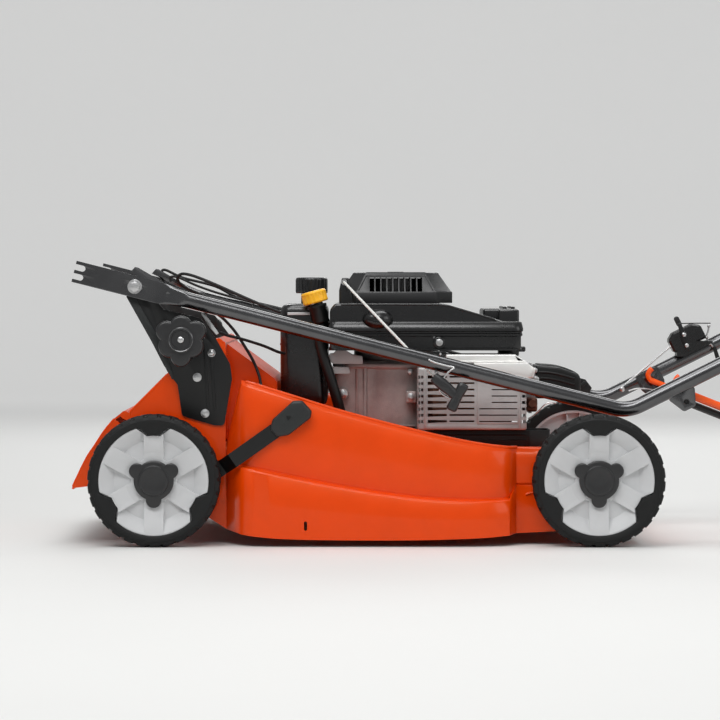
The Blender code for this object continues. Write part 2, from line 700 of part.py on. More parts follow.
def make_guard(base, looks):
    """The hinged rear guard: a curved sheet with two cheeks and a knuckle round its rod."""
    hinge = GUARD_HINGE
    rod_half = HOUSING_HALF - HOUSING_WALL - 0.5 * MM
    node(rod(hinge, GUARD_ROD_RADIUS, "Y", -rod_half, rod_half, 12), "guard_hinge_rod",
         looks["steel"], base)
    carrier = body("rear_guard_axis", (hinge[0], 0, hinge[1]), base)
    outer = [GUARD_FOOT, (-436 * MM, 94 * MM), (-418 * MM, 131 * MM), (-406 * MM, 149 * MM),
             (-391 * MM, 172 * MM), (-374 * MM, 192 * MM)]
    half = BRACKET_OUTER
    sheet = prism(strip(outer, GUARD_WALL), "Y", -half, half)
    tongue = prism(strip([(-378 * MM, 187.5 * MM), (-374 * MM, 192 * MM), (-362 * MM, 201.5 * MM)],
                         GUARD_WALL), "Y", -rod_half + 6 * MM, rod_half - 6 * MM)
    knuckle = rod(hinge, 5.5 * MM, "Y", -rod_half + 6 * MM, rod_half - 6 * MM, 14)
    guard = joined(sheet, tongue, knuckle)
    cheek = [(-437 * MM, 85 * MM), (-434.5 * MM, 94 * MM), (-416.5 * MM, 130 * MM), (-404.5 * MM, 148 * MM),
             (-389.5 * MM, 171 * MM), (-374 * MM, 189.5 * MM), (-368 * MM, 186 * MM),
             (-356 * MM, 172 * MM), (-356 * MM, 135 * MM), (-395 * MM, 90 * MM)]
    for side in SIDES.values():
        low, high = sorted((side * (half - 0.1 * MM), side * (half - GUARD_WALL)))
        guard = joined(guard, prism(cheek, "Y", low, high))
    guard = cut(guard, rod(hinge, GUARD_ROD_RADIUS + GAP, "Y", -0.3, 0.3, 12))
    node(guard, "rear_guard", looks["orange"], carrier)


# Brackets, pivot bolts and star knobs

def make_bracket(side, name, base, looks):
    """The plate that carries the handle: a slot for the pivot bolt, and a welded stud."""
    low, high = sorted((side * BRACKET_INNER, side * BRACKET_OUTER))
    outline = (arc(PIVOT, PLATE_HALF, 60, 215, 5)
               + [(-293 * MM, 262 * MM), (-278 * MM, 243 * MM), (-271 * MM, 195 * MM),
                  (-223 * MM, 181 * MM), (-207 * MM, 180 * MM), (-195 * MM, 252 * MM),
                  (-198 * MM, 274.5 * MM), (-219 * MM, 312 * MM), (-243 * MM, 344 * MM),
                  (-300 * MM, 358 * MM)])
    plate = prism(outline, "Y", low, high)
    lip_low, lip_high = sorted((side * (BRACKET_INNER - 6 * MM), side * (BRACKET_OUTER - 0.5 * MM)))
    edge = [(-355.5 * MM, 382.5 * MM), (-298 * MM, 270.5 * MM), (-295 * MM, 270.5 * MM),
            (-352.5 * MM, 382.5 * MM)]
    plate = joined(plate, prism(edge, "Y", lip_low, lip_high))
    slot = capsule(PIVOT, polar(PIVOT, STUD_ANGLE, CARRIER_TRAVEL), PIVOT_BOLT_RADIUS + 0.5 * MM)
    plate = cut(plate, prism(slot, "Y", low - 5 * MM, high + 5 * MM))
    head = BRACKET_INNER - 4.3 * MM
    stud = stacked([(9 * MM, side * head), (9 * MM, side * (BRACKET_INNER + 0.5 * MM)),
                    (STUD_RADIUS, side * (BRACKET_INNER + 0.5 * MM)),
                    (STUD_RADIUS, side * (KNOB_INNER + 8 * MM))], STUD, "Y", 16)
    node(joined(plate, stud), "handle_bracket_" + name, looks["black"], base)


def make_pivot_bolt(side, name, carrier, looks):
    """A shouldered bolt: head inside the bracket, spacer between the plates, hex head outside."""
    plate_inner = PLATE_Y - PLATE_THICK / 2
    plate_outer = PLATE_Y + PLATE_THICK / 2
    profile = [(9.5 * MM, BRACKET_INNER - 5 * MM), (9.5 * MM, BRACKET_INNER - GAP),
               (PIVOT_BOLT_RADIUS, BRACKET_INNER - GAP), (PIVOT_BOLT_RADIUS, BRACKET_OUTER + GAP),
               (9.5 * MM, BRACKET_OUTER + GAP), (9.5 * MM, plate_inner - GAP),
               (PIVOT_BOLT_RADIUS, plate_inner - GAP), (PIVOT_BOLT_RADIUS, plate_outer + GAP),
               (11 * MM, plate_outer + GAP), (11 * MM, plate_outer + 2 * MM),
               (8.5 * MM, plate_outer + 2 * MM), (8.5 * MM, plate_outer + 7 * MM)]
    bolt = stacked([(radius, side * along) for radius, along in profile], PIVOT, "Y", 12)
    node(bolt, "pivot_bolt_" + name, looks["steel"], carrier)


def star_outline(centre, scale=1.0):
    """Six rounded lobes, every 60 degrees."""
    points = []
    for lobe in range(6):
        for offset, radius in ((-30, 31), (-13, 36), (0, 39), (13, 36)):
            angle = math.radians(90 + 60 * lobe + offset)
            points.append(polar(centre, angle, radius / 39 * KNOB_RADIUS * scale))
    return points


def make_knob(side, name, base, looks):
    """The star knob that turns on the stud, with its clamping flange against the fork."""
    flange = PLATE_Y + PLATE_THICK / 2 + 1 * MM
    turn = body("star_knob_%s_axis" % name, (STUD[0], side * KNOB_INNER, STUD[1]), base)
    outer = KNOB_INNER + KNOB_THICK

    def ring(scale, along):
        return [(x, side * along, z) for x, z in star_outline(STUD, scale)]
    star = lofted([ring(0.94, KNOB_INNER), ring(1, KNOB_INNER + 3 * MM), ring(1, outer - 8 * MM),
                   ring(0.9, outer - 4 * MM)])
    boss_low, boss_high = sorted((side * flange, side * (KNOB_INNER + 2 * MM)))
    flange_low, flange_high = sorted((side * flange, side * (flange + 2 * MM)))
    hub_low, hub_high = sorted((side * (outer - 6 * MM), side * outer))
    star = joined(star, rod(STUD, 11 * MM, "Y", boss_low, boss_high),
                  rod(STUD, 14 * MM, "Y", flange_low, flange_high, 24),
                  rod(STUD, 18 * MM, "Y", hub_low, hub_high, 24))
    bore_low, bore_high = sorted((side * (flange - 1 * MM), side * (KNOB_INNER + 12 * MM)))
    star = cut(star, rod(STUD, STUD_RADIUS + GAP, "Y", bore_low, bore_high, 16))
    node(star, "star_knob_" + name, looks["charcoal"], turn)


# Handle

def tube_route():
    """The handle's centre line, from the right fork over the top to the left fork."""
    start = polar(PIVOT, LOWER_ANGLE, 85 * MM)
    side_points = [start, BEND, HANDLE_TOP]
    right = [(x, -TUBE_Y, z) for x, z in side_points]
    left = [(x, TUBE_Y, z) for x, z in side_points[::-1]]
    return rounded_path(right + left, BEND_RADIUS, 5)


def plate_ring(side, along, thick, half, middle_y):
    """Twelve points round the flattened tube, square to its length, starting outward."""
    ring = []
    for k in range(12):
        angle = 2 * math.pi * (k + 0.5) / 12
        across = -half * max(-1, min(1, 1.1 * math.sin(angle)))
        outward = thick / 2 * max(-1, min(1, 4 * math.cos(angle)))
        x, z = beside(PIVOT, LOWER_ANGLE, along, across)
        ring.append((x, side * (middle_y + outward), z))
    return ring


def fork_rings(side):
    """The flattened end of the tube, from its tip to where it turns round."""
    return [plate_ring(side, -FORK_REACH, PLATE_THICK, PLATE_HALF, PLATE_Y),
            plate_ring(side, 34 * MM, PLATE_THICK, PLATE_HALF, PLATE_Y),
            plate_ring(side, 60 * MM, 16 * MM, 14.5 * MM, PLATE_Y + 2.5 * MM)]


def make_handle_tube(carrier, looks):
    """A bent tube flattened at both ends, with two fork slots and a bolt hole in each end."""
    middle = round_rings(tube_route(), TUBE_RADIUS, 12, Vector((0, -1, 0)))
    tube = lofted(fork_rings(-1) + middle + fork_rings(1)[::-1])
    for side in SIDES.values():
        low, high = sorted((side * (PLATE_Y - 10 * MM), side * (PLATE_Y + 10 * MM)))
        for offset in (-FORK_SLOT_OFFSET, FORK_SLOT_OFFSET):
            half = FORK_SLOT_WIDTH / 2
            slot = [beside(PIVOT, LOWER_ANGLE, along, across) for along, across in
                    ((-FORK_REACH - 5 * MM, offset - half), (-FORK_SLOT_BOTTOM, offset - half),
                     (-FORK_SLOT_BOTTOM, offset + half), (-FORK_REACH - 5 * MM, offset + half))]
            tube = cut(tube, prism(slot, "Y", low, high))
        tube = cut(tube, rod(PIVOT, PIVOT_BOLT_RADIUS + GAP, "Y", low, high, 18))
        tube = joined(tube, bail_tab(side))
    node(tube, "handle_tube", looks["tube"], carrier)


def make_grip(carrier, looks):
    half = TUBE_Y - CORNER_RADIUS - 12 * MM
    radius = HANDLE_GRIP_RADIUS
    profile = [(TUBE_RADIUS + GAP, -half), (radius - 1 * MM, -half), (radius, -half + 4 * MM),
               (radius, half - 4 * MM), (radius - 1 * MM, half), (TUBE_RADIUS + GAP, half)]
    node(turned(profile, HANDLE_TOP, "Y", 16), "handle_grip", looks["foam"], carrier)


def bail_tab(side):
    """A plate welded to the inside of the tube, with a hole for each bail's end."""
    inner = TUBE_Y - TUBE_RADIUS - 3.5 * MM
    low, high = sorted((side * inner, side * (inner + 5 * MM)))
    corners = [(66, 10), (66, -16), (78, -40), (98, -40), (108, -16), (108, 10)]
    outline = [beside(BEND, UPPER_ANGLE, along * MM, across * MM) for along, across in corners]
    plate = prism(outline, "Y", low, high)
    holes = [rod(place, BAIL_RADIUS * 0.8 + GAP, "Y", low - 1 * MM, high + 1 * MM, 12)
             for place in (BRAKE_BAIL_PIVOT, DRIVE_BAIL_PIVOT)]
    return cut(plate, *holes)


def make_bail(name, pivot, half, length, finish, carrier, looks):
    """A wire hoop that hangs from the mounts and is pressed up against the handle."""
    turn = body(name + "_axis", (pivot[0], 0, pivot[1]), carrier)
    pin = TUBE_Y - TUBE_RADIUS - 0.6 * MM
    far = polar(pivot, UPPER_ANGLE - BAIL_DROP, length)
    corners = [(pivot[0], -half, pivot[1]), (far[0], -half, far[1]),
               (far[0], half, far[1]), (pivot[0], half, pivot[1])]
    hoop = swept(rounded_path(corners, 30 * MM, 5), BAIL_RADIUS, 10)
    for side in SIDES.values():
        low, high = sorted((side * (half - 3 * MM), side * pin))
        hoop = joined(hoop, rod(pivot, BAIL_RADIUS * 0.8, "Y", low, high, 10))
    node(hoop, name, looks[finish], turn)


def make_throttle(carrier, looks):
    """The control plate on the left tube, with the throttle lever that turns on it."""
    at = beside(BEND, UPPER_ANGLE, 172 * MM, 30 * MM)
    inner = TUBE_Y - 22 * MM
    foot = beside(BEND, UPPER_ANGLE, 172 * MM, 0)
    box = [beside(BEND, UPPER_ANGLE, along * MM, across * MM)
           for along, across in ((142, 16), (202, 16), (202, 40), (190, 48), (154, 48), (142, 40))]
    housing = bevelled(prism(box, "Y", inner, inner + 34 * MM), 3 * MM)
    saddle = cut(block((foot[0] - 30 * MM, foot[0] + 30 * MM), (inner, inner + 34 * MM),
                       (foot[1] - 4 * MM, foot[1] + 22 * MM)),
                 prism([beside(BEND, UPPER_ANGLE, a * MM, b * MM)
                        for a, b in ((100, -60), (240, -60), (240, 4), (100, 4))], "Y", 0.1, 0.3),
                 prism([beside(BEND, UPPER_ANGLE, a * MM, b * MM)
                        for a, b in ((100, 20), (240, 20), (240, 80), (100, 80))], "Y", 0.1, 0.3))
    housing = joined(housing, saddle)
    tube_cut = swept([(x, TUBE_Y, z) for x, z in (polar(BEND, UPPER_ANGLE, 0.1),
                                                  polar(BEND, UPPER_ANGLE, 0.25))],
                     TUBE_RADIUS + GAP, 24)
    slot = prism([beside(BEND, UPPER_ANGLE, a * MM, b * MM)
                  for a, b in ((150, 26), (194, 26), (194, 60), (150, 60))], "Y",
                 inner + 13 * MM, inner + 21 * MM)
    node(cut(housing, tube_cut, slot), "throttle_housing", looks["black"], carrier)
    turn = body("throttle_lever_axis", (at[0], inner + 17 * MM, at[1]), carrier)
    tip = beside(BEND, UPPER_ANGLE, 172 * MM, 66 * MM)
    lever = prism(capsule(at, tip, 3.2 * MM), "Y", inner + 14 * MM, inner + 20 * MM)
    node(bevelled(lever, 0.8 * MM), "throttle_lever", looks["charcoal"], turn)


def make_rope_guide(carrier, looks):
    """A wire loop round the right tube whose tail holds the starter rope."""
    at = polar(PIVOT, LOWER_ANGLE, ROPE_GUIDE_ALONG)
    ring = turned([(TUBE_RADIUS + GAP, -2.5 * MM), (TUBE_RADIUS + 3 * MM, -2.5 * MM),
                   (TUBE_RADIUS + 3 * MM, 2.5 * MM), (TUBE_RADIUS + GAP, 2.5 * MM)], (0, 0), "X", 20)
    ring.data.transform(Matrix.Translation((at[0], -TUBE_Y, at[1]))
                        @ Matrix.Rotation(-LOWER_ANGLE, 4, "Y"))
    eye = rope_eye()
    stem = swept([(at[0], -TUBE_Y, at[1] - TUBE_RADIUS - 1.2 * MM), (eye[0], -TUBE_Y, eye[2] + 7 * MM)],
                 2.2 * MM, 8)
    loop = turned([(4.2 * MM, -2.2 * MM), (8.5 * MM, -2.2 * MM), (8.5 * MM, 2.2 * MM),
                   (4.2 * MM, 2.2 * MM)], (eye[0], eye[2]), "Y", 16)
    loop.data.transform(Matrix.Translation((0, -TUBE_Y, 0)))
    node(joined(ring, stem, loop), "rope_guide", looks["black"], carrier)


def rope_eye():
    """The middle of the eye that the starter rope runs through, under the right tube."""
    at = polar(PIVOT, LOWER_ANGLE, ROPE_GUIDE_ALONG)
    return (at[0], -TUBE_Y, at[1] - 26 * MM)


def make_starter_grip(carrier, looks):
    """The T grip that rests outside the eye, its stem lying forward and down from it."""
    eye = rope_eye()
    outside = eye[1] - 2.2 * MM - 1 * MM
    slide = body("starter_grip_axis", (eye[0], outside, eye[2]), carrier)
    collar = rod((eye[0], eye[2]), 7 * MM, "Y", outside - 13 * MM, outside, 14)
    stem = swept([(eye[0], outside - 8.5 * MM, eye[2]),
                  (eye[0] + 29 * MM, outside - 11 * MM, eye[2] - 24 * MM)], 8 * MM, 12)
    bar = swept([(eye[0] + 39.5 * MM, outside - 12 * MM, eye[2] - 4 * MM),
                 (eye[0] + 18.5 * MM, outside - 12 * MM, eye[2] - 45 * MM)], 8.5 * MM, 12)
    node(joined(bevelled(bar, 3 * MM), stem, collar), "starter_grip", looks["charcoal"], slide)


def make_cable_anchor(carrier, looks):
    """The bracket on the left tube that holds both control cables' ends."""
    corners = [(-44, -15), (-30, -26), (-6, -26), (8, -15), (4, 6), (-36, 6)]
    outline = [beside(BEND, LOWER_ANGLE, a * MM - 30 * MM, -b * MM) for a, b in corners]
    inner = TUBE_Y - TUBE_RADIUS - GAP - 4 * MM
    plate = prism(outline, "Y", inner, inner + 4 * MM)
    node(plate, "cable_anchor", looks["black"], carrier)


# Engine

def make_crankcase(base, looks):
    flange = stacked([(88 * MM, PAN_Z + GAP), (88 * MM, PAN_Z + 9 * MM)], (SHAFT_X, 0), "Z", 24)
    body_box = bevelled(block((SHAFT_X - 97.5 * MM, SHAFT_X + 60 * MM), (-86 * MM, 86 * MM),
                              (PAN_Z + 8 * MM, CASE_TOP - 12 * MM)), 10 * MM)
    neck = stacked([(70 * MM, CASE_TOP - 16 * MM), (62 * MM, CASE_TOP)], (SHAFT_X, 0), "Z", 24)
    case = joined(flange, body_box, neck)
    for side in SIDES.values():
        for x in (SHAFT_X - 83 * MM, SHAFT_X + 40 * MM):
            low, high = sorted((side * 80 * MM, side * 92 * MM))
            case = joined(case, rod((x, PAN_Z + 79 * MM), 9 * MM, "Y", low, high, 12))
    case = cut(case, rod((SHAFT_X, 0), SHAFT_RADIUS + GAP, "Z", 0.1, 0.4, 24))
    node(case, "engine_crankcase", looks["cast"], base)


def comb(x0, x1, z0, z1, pitch, depth):
    """A block's side outline with square fins along its top and bottom."""
    count = int((x1 - x0) / pitch)
    top = []
    for k in range(count):
        left = x0 + k * pitch
        top += [(left, z1), (left + pitch * 0.45, z1), (left + pitch * 0.45, z1 - depth),
                (left + pitch, z1 - depth)]
    top.append((x1, z1 - depth))
    bottom = [(x, z0 + (z1 - z)) for x, z in top]
    return bottom + top[::-1]


def make_cylinder(base, looks):
    start = SHAFT_X + 60 * MM + GAP
    barrel = comb(start, start + 101 * MM, 195 * MM, 264 * MM, 10 * MM, 9 * MM)
    head_start = start + 100 * MM
    head = comb(head_start, head_start + 60 * MM, 192 * MM, 271 * MM, 10 * MM, 8 * MM)
    cylinder = joined(prism(barrel, "Y", -56 * MM, 56 * MM), prism(head, "Y", -58 * MM, 58 * MM))
    node(cylinder, "engine_cylinder", looks["alloy"], base, False)
    cover_start = head_start + 60 * MM + GAP
    side = [(cover_start + x * MM, z * MM) for x, z in
            ((0, 215), (62, 215), (72, 224), (72, 247), (66, 256), (38, 265), (0, 268))]
    node(bevelled(prism(side, "Y", -52 * MM, 52 * MM), 5 * MM), "valve_cover", looks["black"], base)
    side = [(SHAFT_X + x * MM, z * MM) for x, z in
            ((76.5, 273), (201.5, 273), (201.5, 249), (212, 251), (215.5, 265), (184, 287), (76.5, 287))]
    shroud = prism(side, "Y", -150 * MM, -60 * MM)
    node(shroud, "cylinder_shroud", looks["bright"], base)
    plug_x = head_start + 34 * MM
    boot = swept([(plug_x, 58.3 * MM, 232 * MM), (plug_x, 80 * MM, 232 * MM),
                  (plug_x, 96 * MM, 240 * MM), (plug_x - 4 * MM, 104 * MM, 256 * MM)], 9 * MM, 12)
    node(boot, "spark_plug_boot", looks["rubber"], base)


def make_muffler(base, looks):
    """The silencer with its slotted guard, on the engine's right side."""
    x = (SHAFT_X + 44 * MM, SHAFT_X + 190 * MM)
    muffler = bevelled(block(x, (-156 * MM, -94 * MM), (182 * MM, 260 * MM)), 12 * MM)
    node(muffler, "muffler", looks["rust"], base)
    outer_x = (SHAFT_X + 32.5 * MM, SHAFT_X + 200.5 * MM)
    z = (171 * MM, 267 * MM)
    guard = block(outer_x, (-170 * MM, -100 * MM), z)
    wall = 2 * MM
    guard = cut(guard, block((outer_x[0] + wall, outer_x[1] - wall), (-168 * MM, -90 * MM),
                             (z[0] + wall, z[1] - wall)))
    for k in range(8):
        low = z[0] + 10 * MM + k * 10 * MM
        guard = cut(guard, block((outer_x[0] + 8 * MM, outer_x[0] + 36 * MM), (-0.18, -0.16),
                                 (low, low + 4 * MM)),
                    block((outer_x[0] + 88 * MM, outer_x[1] - 8 * MM), (-0.18, -0.16),
                          (low, low + 4 * MM)))
    node(guard, "muffler_guard", looks["guard"], base, False)


def starter_ring(half, height):
    """A square with its corners cut off: long flats to the sides, shorter ones fore and aft."""
    flat, side, short = 0.71 * half, 0.9 * half, 0.52 * half
    corners = [(flat, side), (-flat, side), (-half, short), (-half, -short),
               (-flat, -side), (flat, -side), (half, -short), (half, short)]
    return [(SHAFT_X + x, y, height) for x, y in corners]


def make_blower(base, looks):
    """The cooling shroud over the flywheel, open below, and the cone of the starter on it."""
    rear, front = SHAFT_X - 103.5 * MM, SHAFT_X + 193.5 * MM
    foot = CASE_TOP + 3 * MM
    outline = [(rear, foot), (front, foot), (front, 326 * MM), (front - 46 * MM, 343 * MM),
               (front - 114 * MM, 364 * MM), (front - 124 * MM, BLOWER_TOP), (rear + 8 * MM, BLOWER_TOP),
               (rear, BLOWER_TOP - 10 * MM)]
    inside = [(rear + SHELL, foot - 5 * MM), (front - SHELL, foot - 5 * MM),
              (front - SHELL, 324 * MM), (front - 47 * MM, 340 * MM), (front - 115 * MM, 361 * MM),
              (front - 124 * MM, BLOWER_TOP - SHELL), (rear + 9 * MM, BLOWER_TOP - SHELL),
              (rear + SHELL, BLOWER_TOP - 11 * MM)]
    half = BLOWER_HALF
    shell = bevelled(prism(outline, "Y", -half, half), 6 * MM)
    ledge = block((rear - 3 * MM, front + 2 * MM), (-half - 3 * MM, half + 3 * MM),
                  (321 * MM, 331 * MM))
    post = block((ROPE_POST[0] - 7 * MM, ROPE_POST[0] + 5 * MM),
                 (ROPE_POST[1] - 7 * MM, ROPE_POST[1] + 7 * MM), (360 * MM, ROPE_POST[2] + 7 * MM))
    hump = bevelled(block((front - 54 * MM, front + 2 * MM), (-20 * MM, 128 * MM), (318 * MM, 357 * MM)), 3 * MM)
    shell = joined(shell, ledge, post, hump)
    shell = cut(shell, prism(inside, "Y", -half + SHELL, half - SHELL),
                rod((SHAFT_X, 0), STARTER_TOP_HALF - 7.5 * MM, "Z", 0.34, 0.4, 32))
    node(shell, "blower_housing", looks["black"], base)
    base_half, top_half = STARTER_BASE_HALF, STARTER_TOP_HALF
    tiers = [(base_half, BLOWER_TOP + GAP), (base_half, BLOWER_TOP + STARTER_BAND),
             (base_half - 3 * MM, BLOWER_TOP + STARTER_BAND + 1.5 * MM), (top_half, STARTER_TOP - 3 * MM),
             (top_half - 3 * MM, STARTER_TOP)]
    cover = lofted([starter_ring(half, height) for half, height in tiers])
    hollow = lofted([starter_ring(base_half - SHELL - 3 * MM, BLOWER_TOP - 10 * MM),
                     starter_ring(base_half - SHELL - 3 * MM, BLOWER_TOP + STARTER_BAND - 2 * MM),
                     starter_ring(top_half - SHELL - 1 * MM, STARTER_TOP - SHELL)])
    cover = cut(cover, hollow)
    pitch = 9.4 * MM
    for k in range(9):
        x = SHAFT_X + (k - 4) * pitch
        cover = cut(cover, block((x - 3.7 * MM, x + 3.7 * MM), (-0.1, 0.1),
                                 (BLOWER_TOP + STARTER_BAND + 4 * MM, STARTER_TOP - 9 * MM)))
    node(cover, "starter_cover", looks["charcoal"], base, False)


def make_rotor(base, looks):
    """What turns with the crankshaft: flywheel above, blade with its adapter and bolt below."""
    shaft = (SHAFT_X, 0)
    spin = body("crankshaft_axis", (SHAFT_X, 0, BLADE_Z), base)
    adapter_low = BLADE_Z + BLADE_THICK / 2 + GAP
    node(rod(shaft, SHAFT_RADIUS, "Z", adapter_low + 2 * MM, 352 * MM, 24), "crankshaft",
         looks["steel"], spin)
    flywheel = turned([(SHAFT_RADIUS + GAP, 306 * MM), (74 * MM, 306 * MM), (78 * MM, 312 * MM),
                       (78 * MM, 330 * MM), (60 * MM, 330 * MM), (56 * MM, 318 * MM),
                       (22 * MM, 318 * MM), (20 * MM, 340 * MM), (SHAFT_RADIUS + GAP, 340 * MM)],
                      shaft, "Z", 20)
    node(flywheel, "flywheel", looks["cast"], spin)
    cup = cut(stacked([(30 * MM, adapter_low), (30 * MM, adapter_low + 7 * MM),
                       (19 * MM, adapter_low + 10 * MM), (19 * MM, adapter_low + 32 * MM)],
                      shaft, "Z"),
              rod(shaft, SHAFT_RADIUS + GAP, "Z", adapter_low + 1.7 * MM, 0.2, 24))
    node(cup, "blade_adapter", looks["cast"], spin)
    node(make_blade(), "mower_blade", looks["steel"], spin, False)
    top = BLADE_Z - BLADE_THICK / 2 - GAP
    bolt = stacked([(14 * MM, top), (14 * MM, top - 2.5 * MM), (9.5 * MM, top - 2.5 * MM),
                    (9.5 * MM, top - 9 * MM)], shaft, "Z", 12)
    node(bolt, "blade_bolt", looks["steel"], spin)


def make_blade():
    """A flat bar whose trailing edges turn up near the tips."""
    half = BLADE_LENGTH / 2
    width = BLADE_WIDTH / 2
    low, high = BLADE_Z - BLADE_THICK / 2, BLADE_Z + BLADE_THICK / 2
    bar = block((SHAFT_X - half, SHAFT_X + half), (-width, width), (low, high))
    for end in (-1, 1):
        wing = [(end * (width - 4 * MM), low), (end * (width + 6 * MM), low + 14 * MM),
                (end * (width + 4 * MM), low + 17 * MM), (end * (width - 10 * MM), high)]
        x = sorted((SHAFT_X + end * (half - 5 * MM), SHAFT_X + end * (half - 95 * MM)))
        bar = joined(bar, prism(wing, "X", *x))
    return bar


def make_tanks(base, looks):
    """Fuel tank with its cap, and the oil filler beside it."""
    rear, front = SHAFT_X - 181.5 * MM, SHAFT_X - 106.8 * MM - GAP
    tank = bevelled(block((rear, front), (-TANK_HALF, TANK_HALF), (206.5 * MM, TANK_TOP)), 10 * MM, 2)
    cap_at = (-78 * MM, 45 * MM)
    neck = rod(cap_at, 17 * MM, "Z", TANK_TOP - 4 * MM, TANK_TOP + 16 * MM, 20)
    tank = cut(joined(tank, neck), rod(cap_at, 14 * MM, "Z", TANK_TOP - 25 * MM, 0.4, 20))
    node(tank, "fuel_tank", looks["black"], base)
    turn = body("fuel_cap_axis", (cap_at[0], cap_at[1], TANK_TOP + 16.3 * MM), base)
    low = TANK_TOP + 16.3 * MM
    cap = joined(stacked([(25 * MM, low), (26 * MM, low + 4 * MM), (26 * MM, low + 22 * MM),
                          (23 * MM, low + 26 * MM)], cap_at, "Z", 24),
                 rod(cap_at, 13.5 * MM, "Z", low - 8 * MM, low + 2 * MM, 20))
    node(cap, "fuel_cap", looks["black"], turn)

    neck_at = (-67.5 * MM, -TANK_HALF - 12 * MM)
    tilt = math.radians(15)
    top = Vector((neck_at[0] - 1 * MM, neck_at[1], 366 * MM))
    lean = Vector((-math.sin(tilt), 0, math.cos(tilt)))
    route = [(SHAFT_X - 86 * MM, -86.6 * MM, 186 * MM), (SHAFT_X - 86 * MM, -92 * MM, 186 * MM),
             (SHAFT_X - 86 * MM, -98 * MM, 186 * MM),
             (SHAFT_X - 92 * MM, -112 * MM, 215 * MM), (SHAFT_X - 118 * MM, -112 * MM, 300 * MM),
             tuple(top - lean * 30 * MM), tuple(top)]
    pipe = swept(smooth_path(route, 3), 8.5 * MM, 10)
    node(pipe, "oil_fill_tube", looks["black"], base)
    turn = body("oil_cap_axis", tuple(top), base)
    across = Vector((math.cos(tilt), 0, math.sin(tilt)))

    def ring(radius, along):
        return [top + lean * along + radius * (math.cos(a) * across + math.sin(a) * Vector((0, 1, 0)))
                for a in (2 * math.pi * k / 20 for k in range(20))]
    cap = lofted([ring(17 * MM, GAP * 1.5), ring(20 * MM, 3 * MM), ring(20 * MM, 17 * MM),
                  ring(17 * MM, 20 * MM)])
    node(cap, "oil_cap", looks["yellow"], turn)


def make_intake(base, looks):
    """Air cleaner and carburettor on the engine's left side."""
    air = bevelled(block((SHAFT_X - 60 * MM, SHAFT_X + 60 * MM), (96 * MM, 168 * MM),
                         (190 * MM, 284 * MM)), 10 * MM)
    node(air, "air_cleaner", looks["black"], base)
    carb = bevelled(block((SHAFT_X + 60.5 * MM, SHAFT_X + 100 * MM), (56.4 * MM, 130 * MM),
                          (205 * MM, 250 * MM)), 4 * MM)
    carb = joined(carb, rod((110 * MM, 228 * MM), 16 * MM, "X", SHAFT_X + 80 * MM, SHAFT_X + 118 * MM))
    node(carb, "carburettor", looks["alloy"], base)


# Rope and cables

def make_cord(name, route, radius, finish, base, sides=8, steps=4):
    node(swept(smooth_path(route, steps), radius, sides), name, finish, base)


def make_rope(base, looks):
    """The starter rope, from the starter to the grip's eye on the handle."""
    post = ROPE_POST
    start = Vector((post[0], post[1] - 7 * MM - GAP, post[2]))
    eye = Vector(rope_eye())
    over = Vector((post[0] + 22 * MM, -BLOWER_HALF - 8 * MM, post[2] - 23 * MM))
    end = eye + Vector((0, -2.9 * MM, 0))
    turn = eye + Vector((0, 9 * MM, 0))
    lead = start + Vector((0, -14 * MM, 0))
    route = rounded_path([start, lead, over, turn, end], 9 * MM, 3)
    node(swept(route, ROPE_RADIUS, 8), "starter_rope", looks["white"], base)


def make_cable(base, looks):
    """The brake cable, from its anchor back along the left tube and over to the engine."""
    inner = TUBE_Y - TUBE_RADIUS - CABLE_RADIUS - 2.5 * MM
    along = [beside(PIVOT, LOWER_ANGLE, reach * MM, 4 * MM) for reach in (700, 520, 300, 160, 90)]
    free = [(-300, 198, 413), (-250, 172, 398), (-150, 146, 357), (-90, 132, 338)]
    route = [(x, inner, z) for x, z in along] + [(x * MM, y * MM, z * MM) for x, y, z in free]
    route.append((SHAFT_X - 106.8 * MM, 125 * MM, 336 * MM))
    make_cord("brake_cable", route, CABLE_RADIUS, looks["rubber"], base)


def make_materials():
    return {
        "orange": material("orange paint", (0.68, 0.07, 0.005), 0.32),
        "black": material("black paint", (0.012, 0.013, 0.013), 0.55),
        "charcoal": material("charcoal plastic", (0.05, 0.05, 0.05), 0.6),
        "slate": material("slate plastic", (0.028, 0.036, 0.036), 0.6),
        "rubber": material("black rubber", (0.01, 0.011, 0.011), 0.75),
        "rim": material("light grey plastic", (0.42, 0.42, 0.42), 0.5),
        "steel": material("zinc steel", (0.5, 0.5, 0.5), 0.35, 1.0),
        "tube": material("graphite paint", (0.03, 0.03, 0.031), 0.35, 0.4),
        "foam": material("foam", (0.02, 0.02, 0.02), 0.9),
        "cast": material("cast alloy", (0.2, 0.16, 0.16), 0.55, 0.8),
        "alloy": material("alloy", (0.45, 0.45, 0.46), 0.45, 0.9),
        "bright": material("bright alloy", (0.75, 0.74, 0.72), 0.3, 0.9),
        "guard": material("silver paint", (0.36, 0.34, 0.34), 0.4, 0.6),
        "rust": material("heated steel", (0.25, 0.1, 0.06), 0.6, 0.7),
        "yellow": material("yellow plastic", (1.0, 0.55, 0.05), 0.4),
        "white": material("white cord", (0.7, 0.7, 0.68), 0.8),
        "bail": material("orange plastic coat", (0.8, 0.1, 0.01), 0.35)}


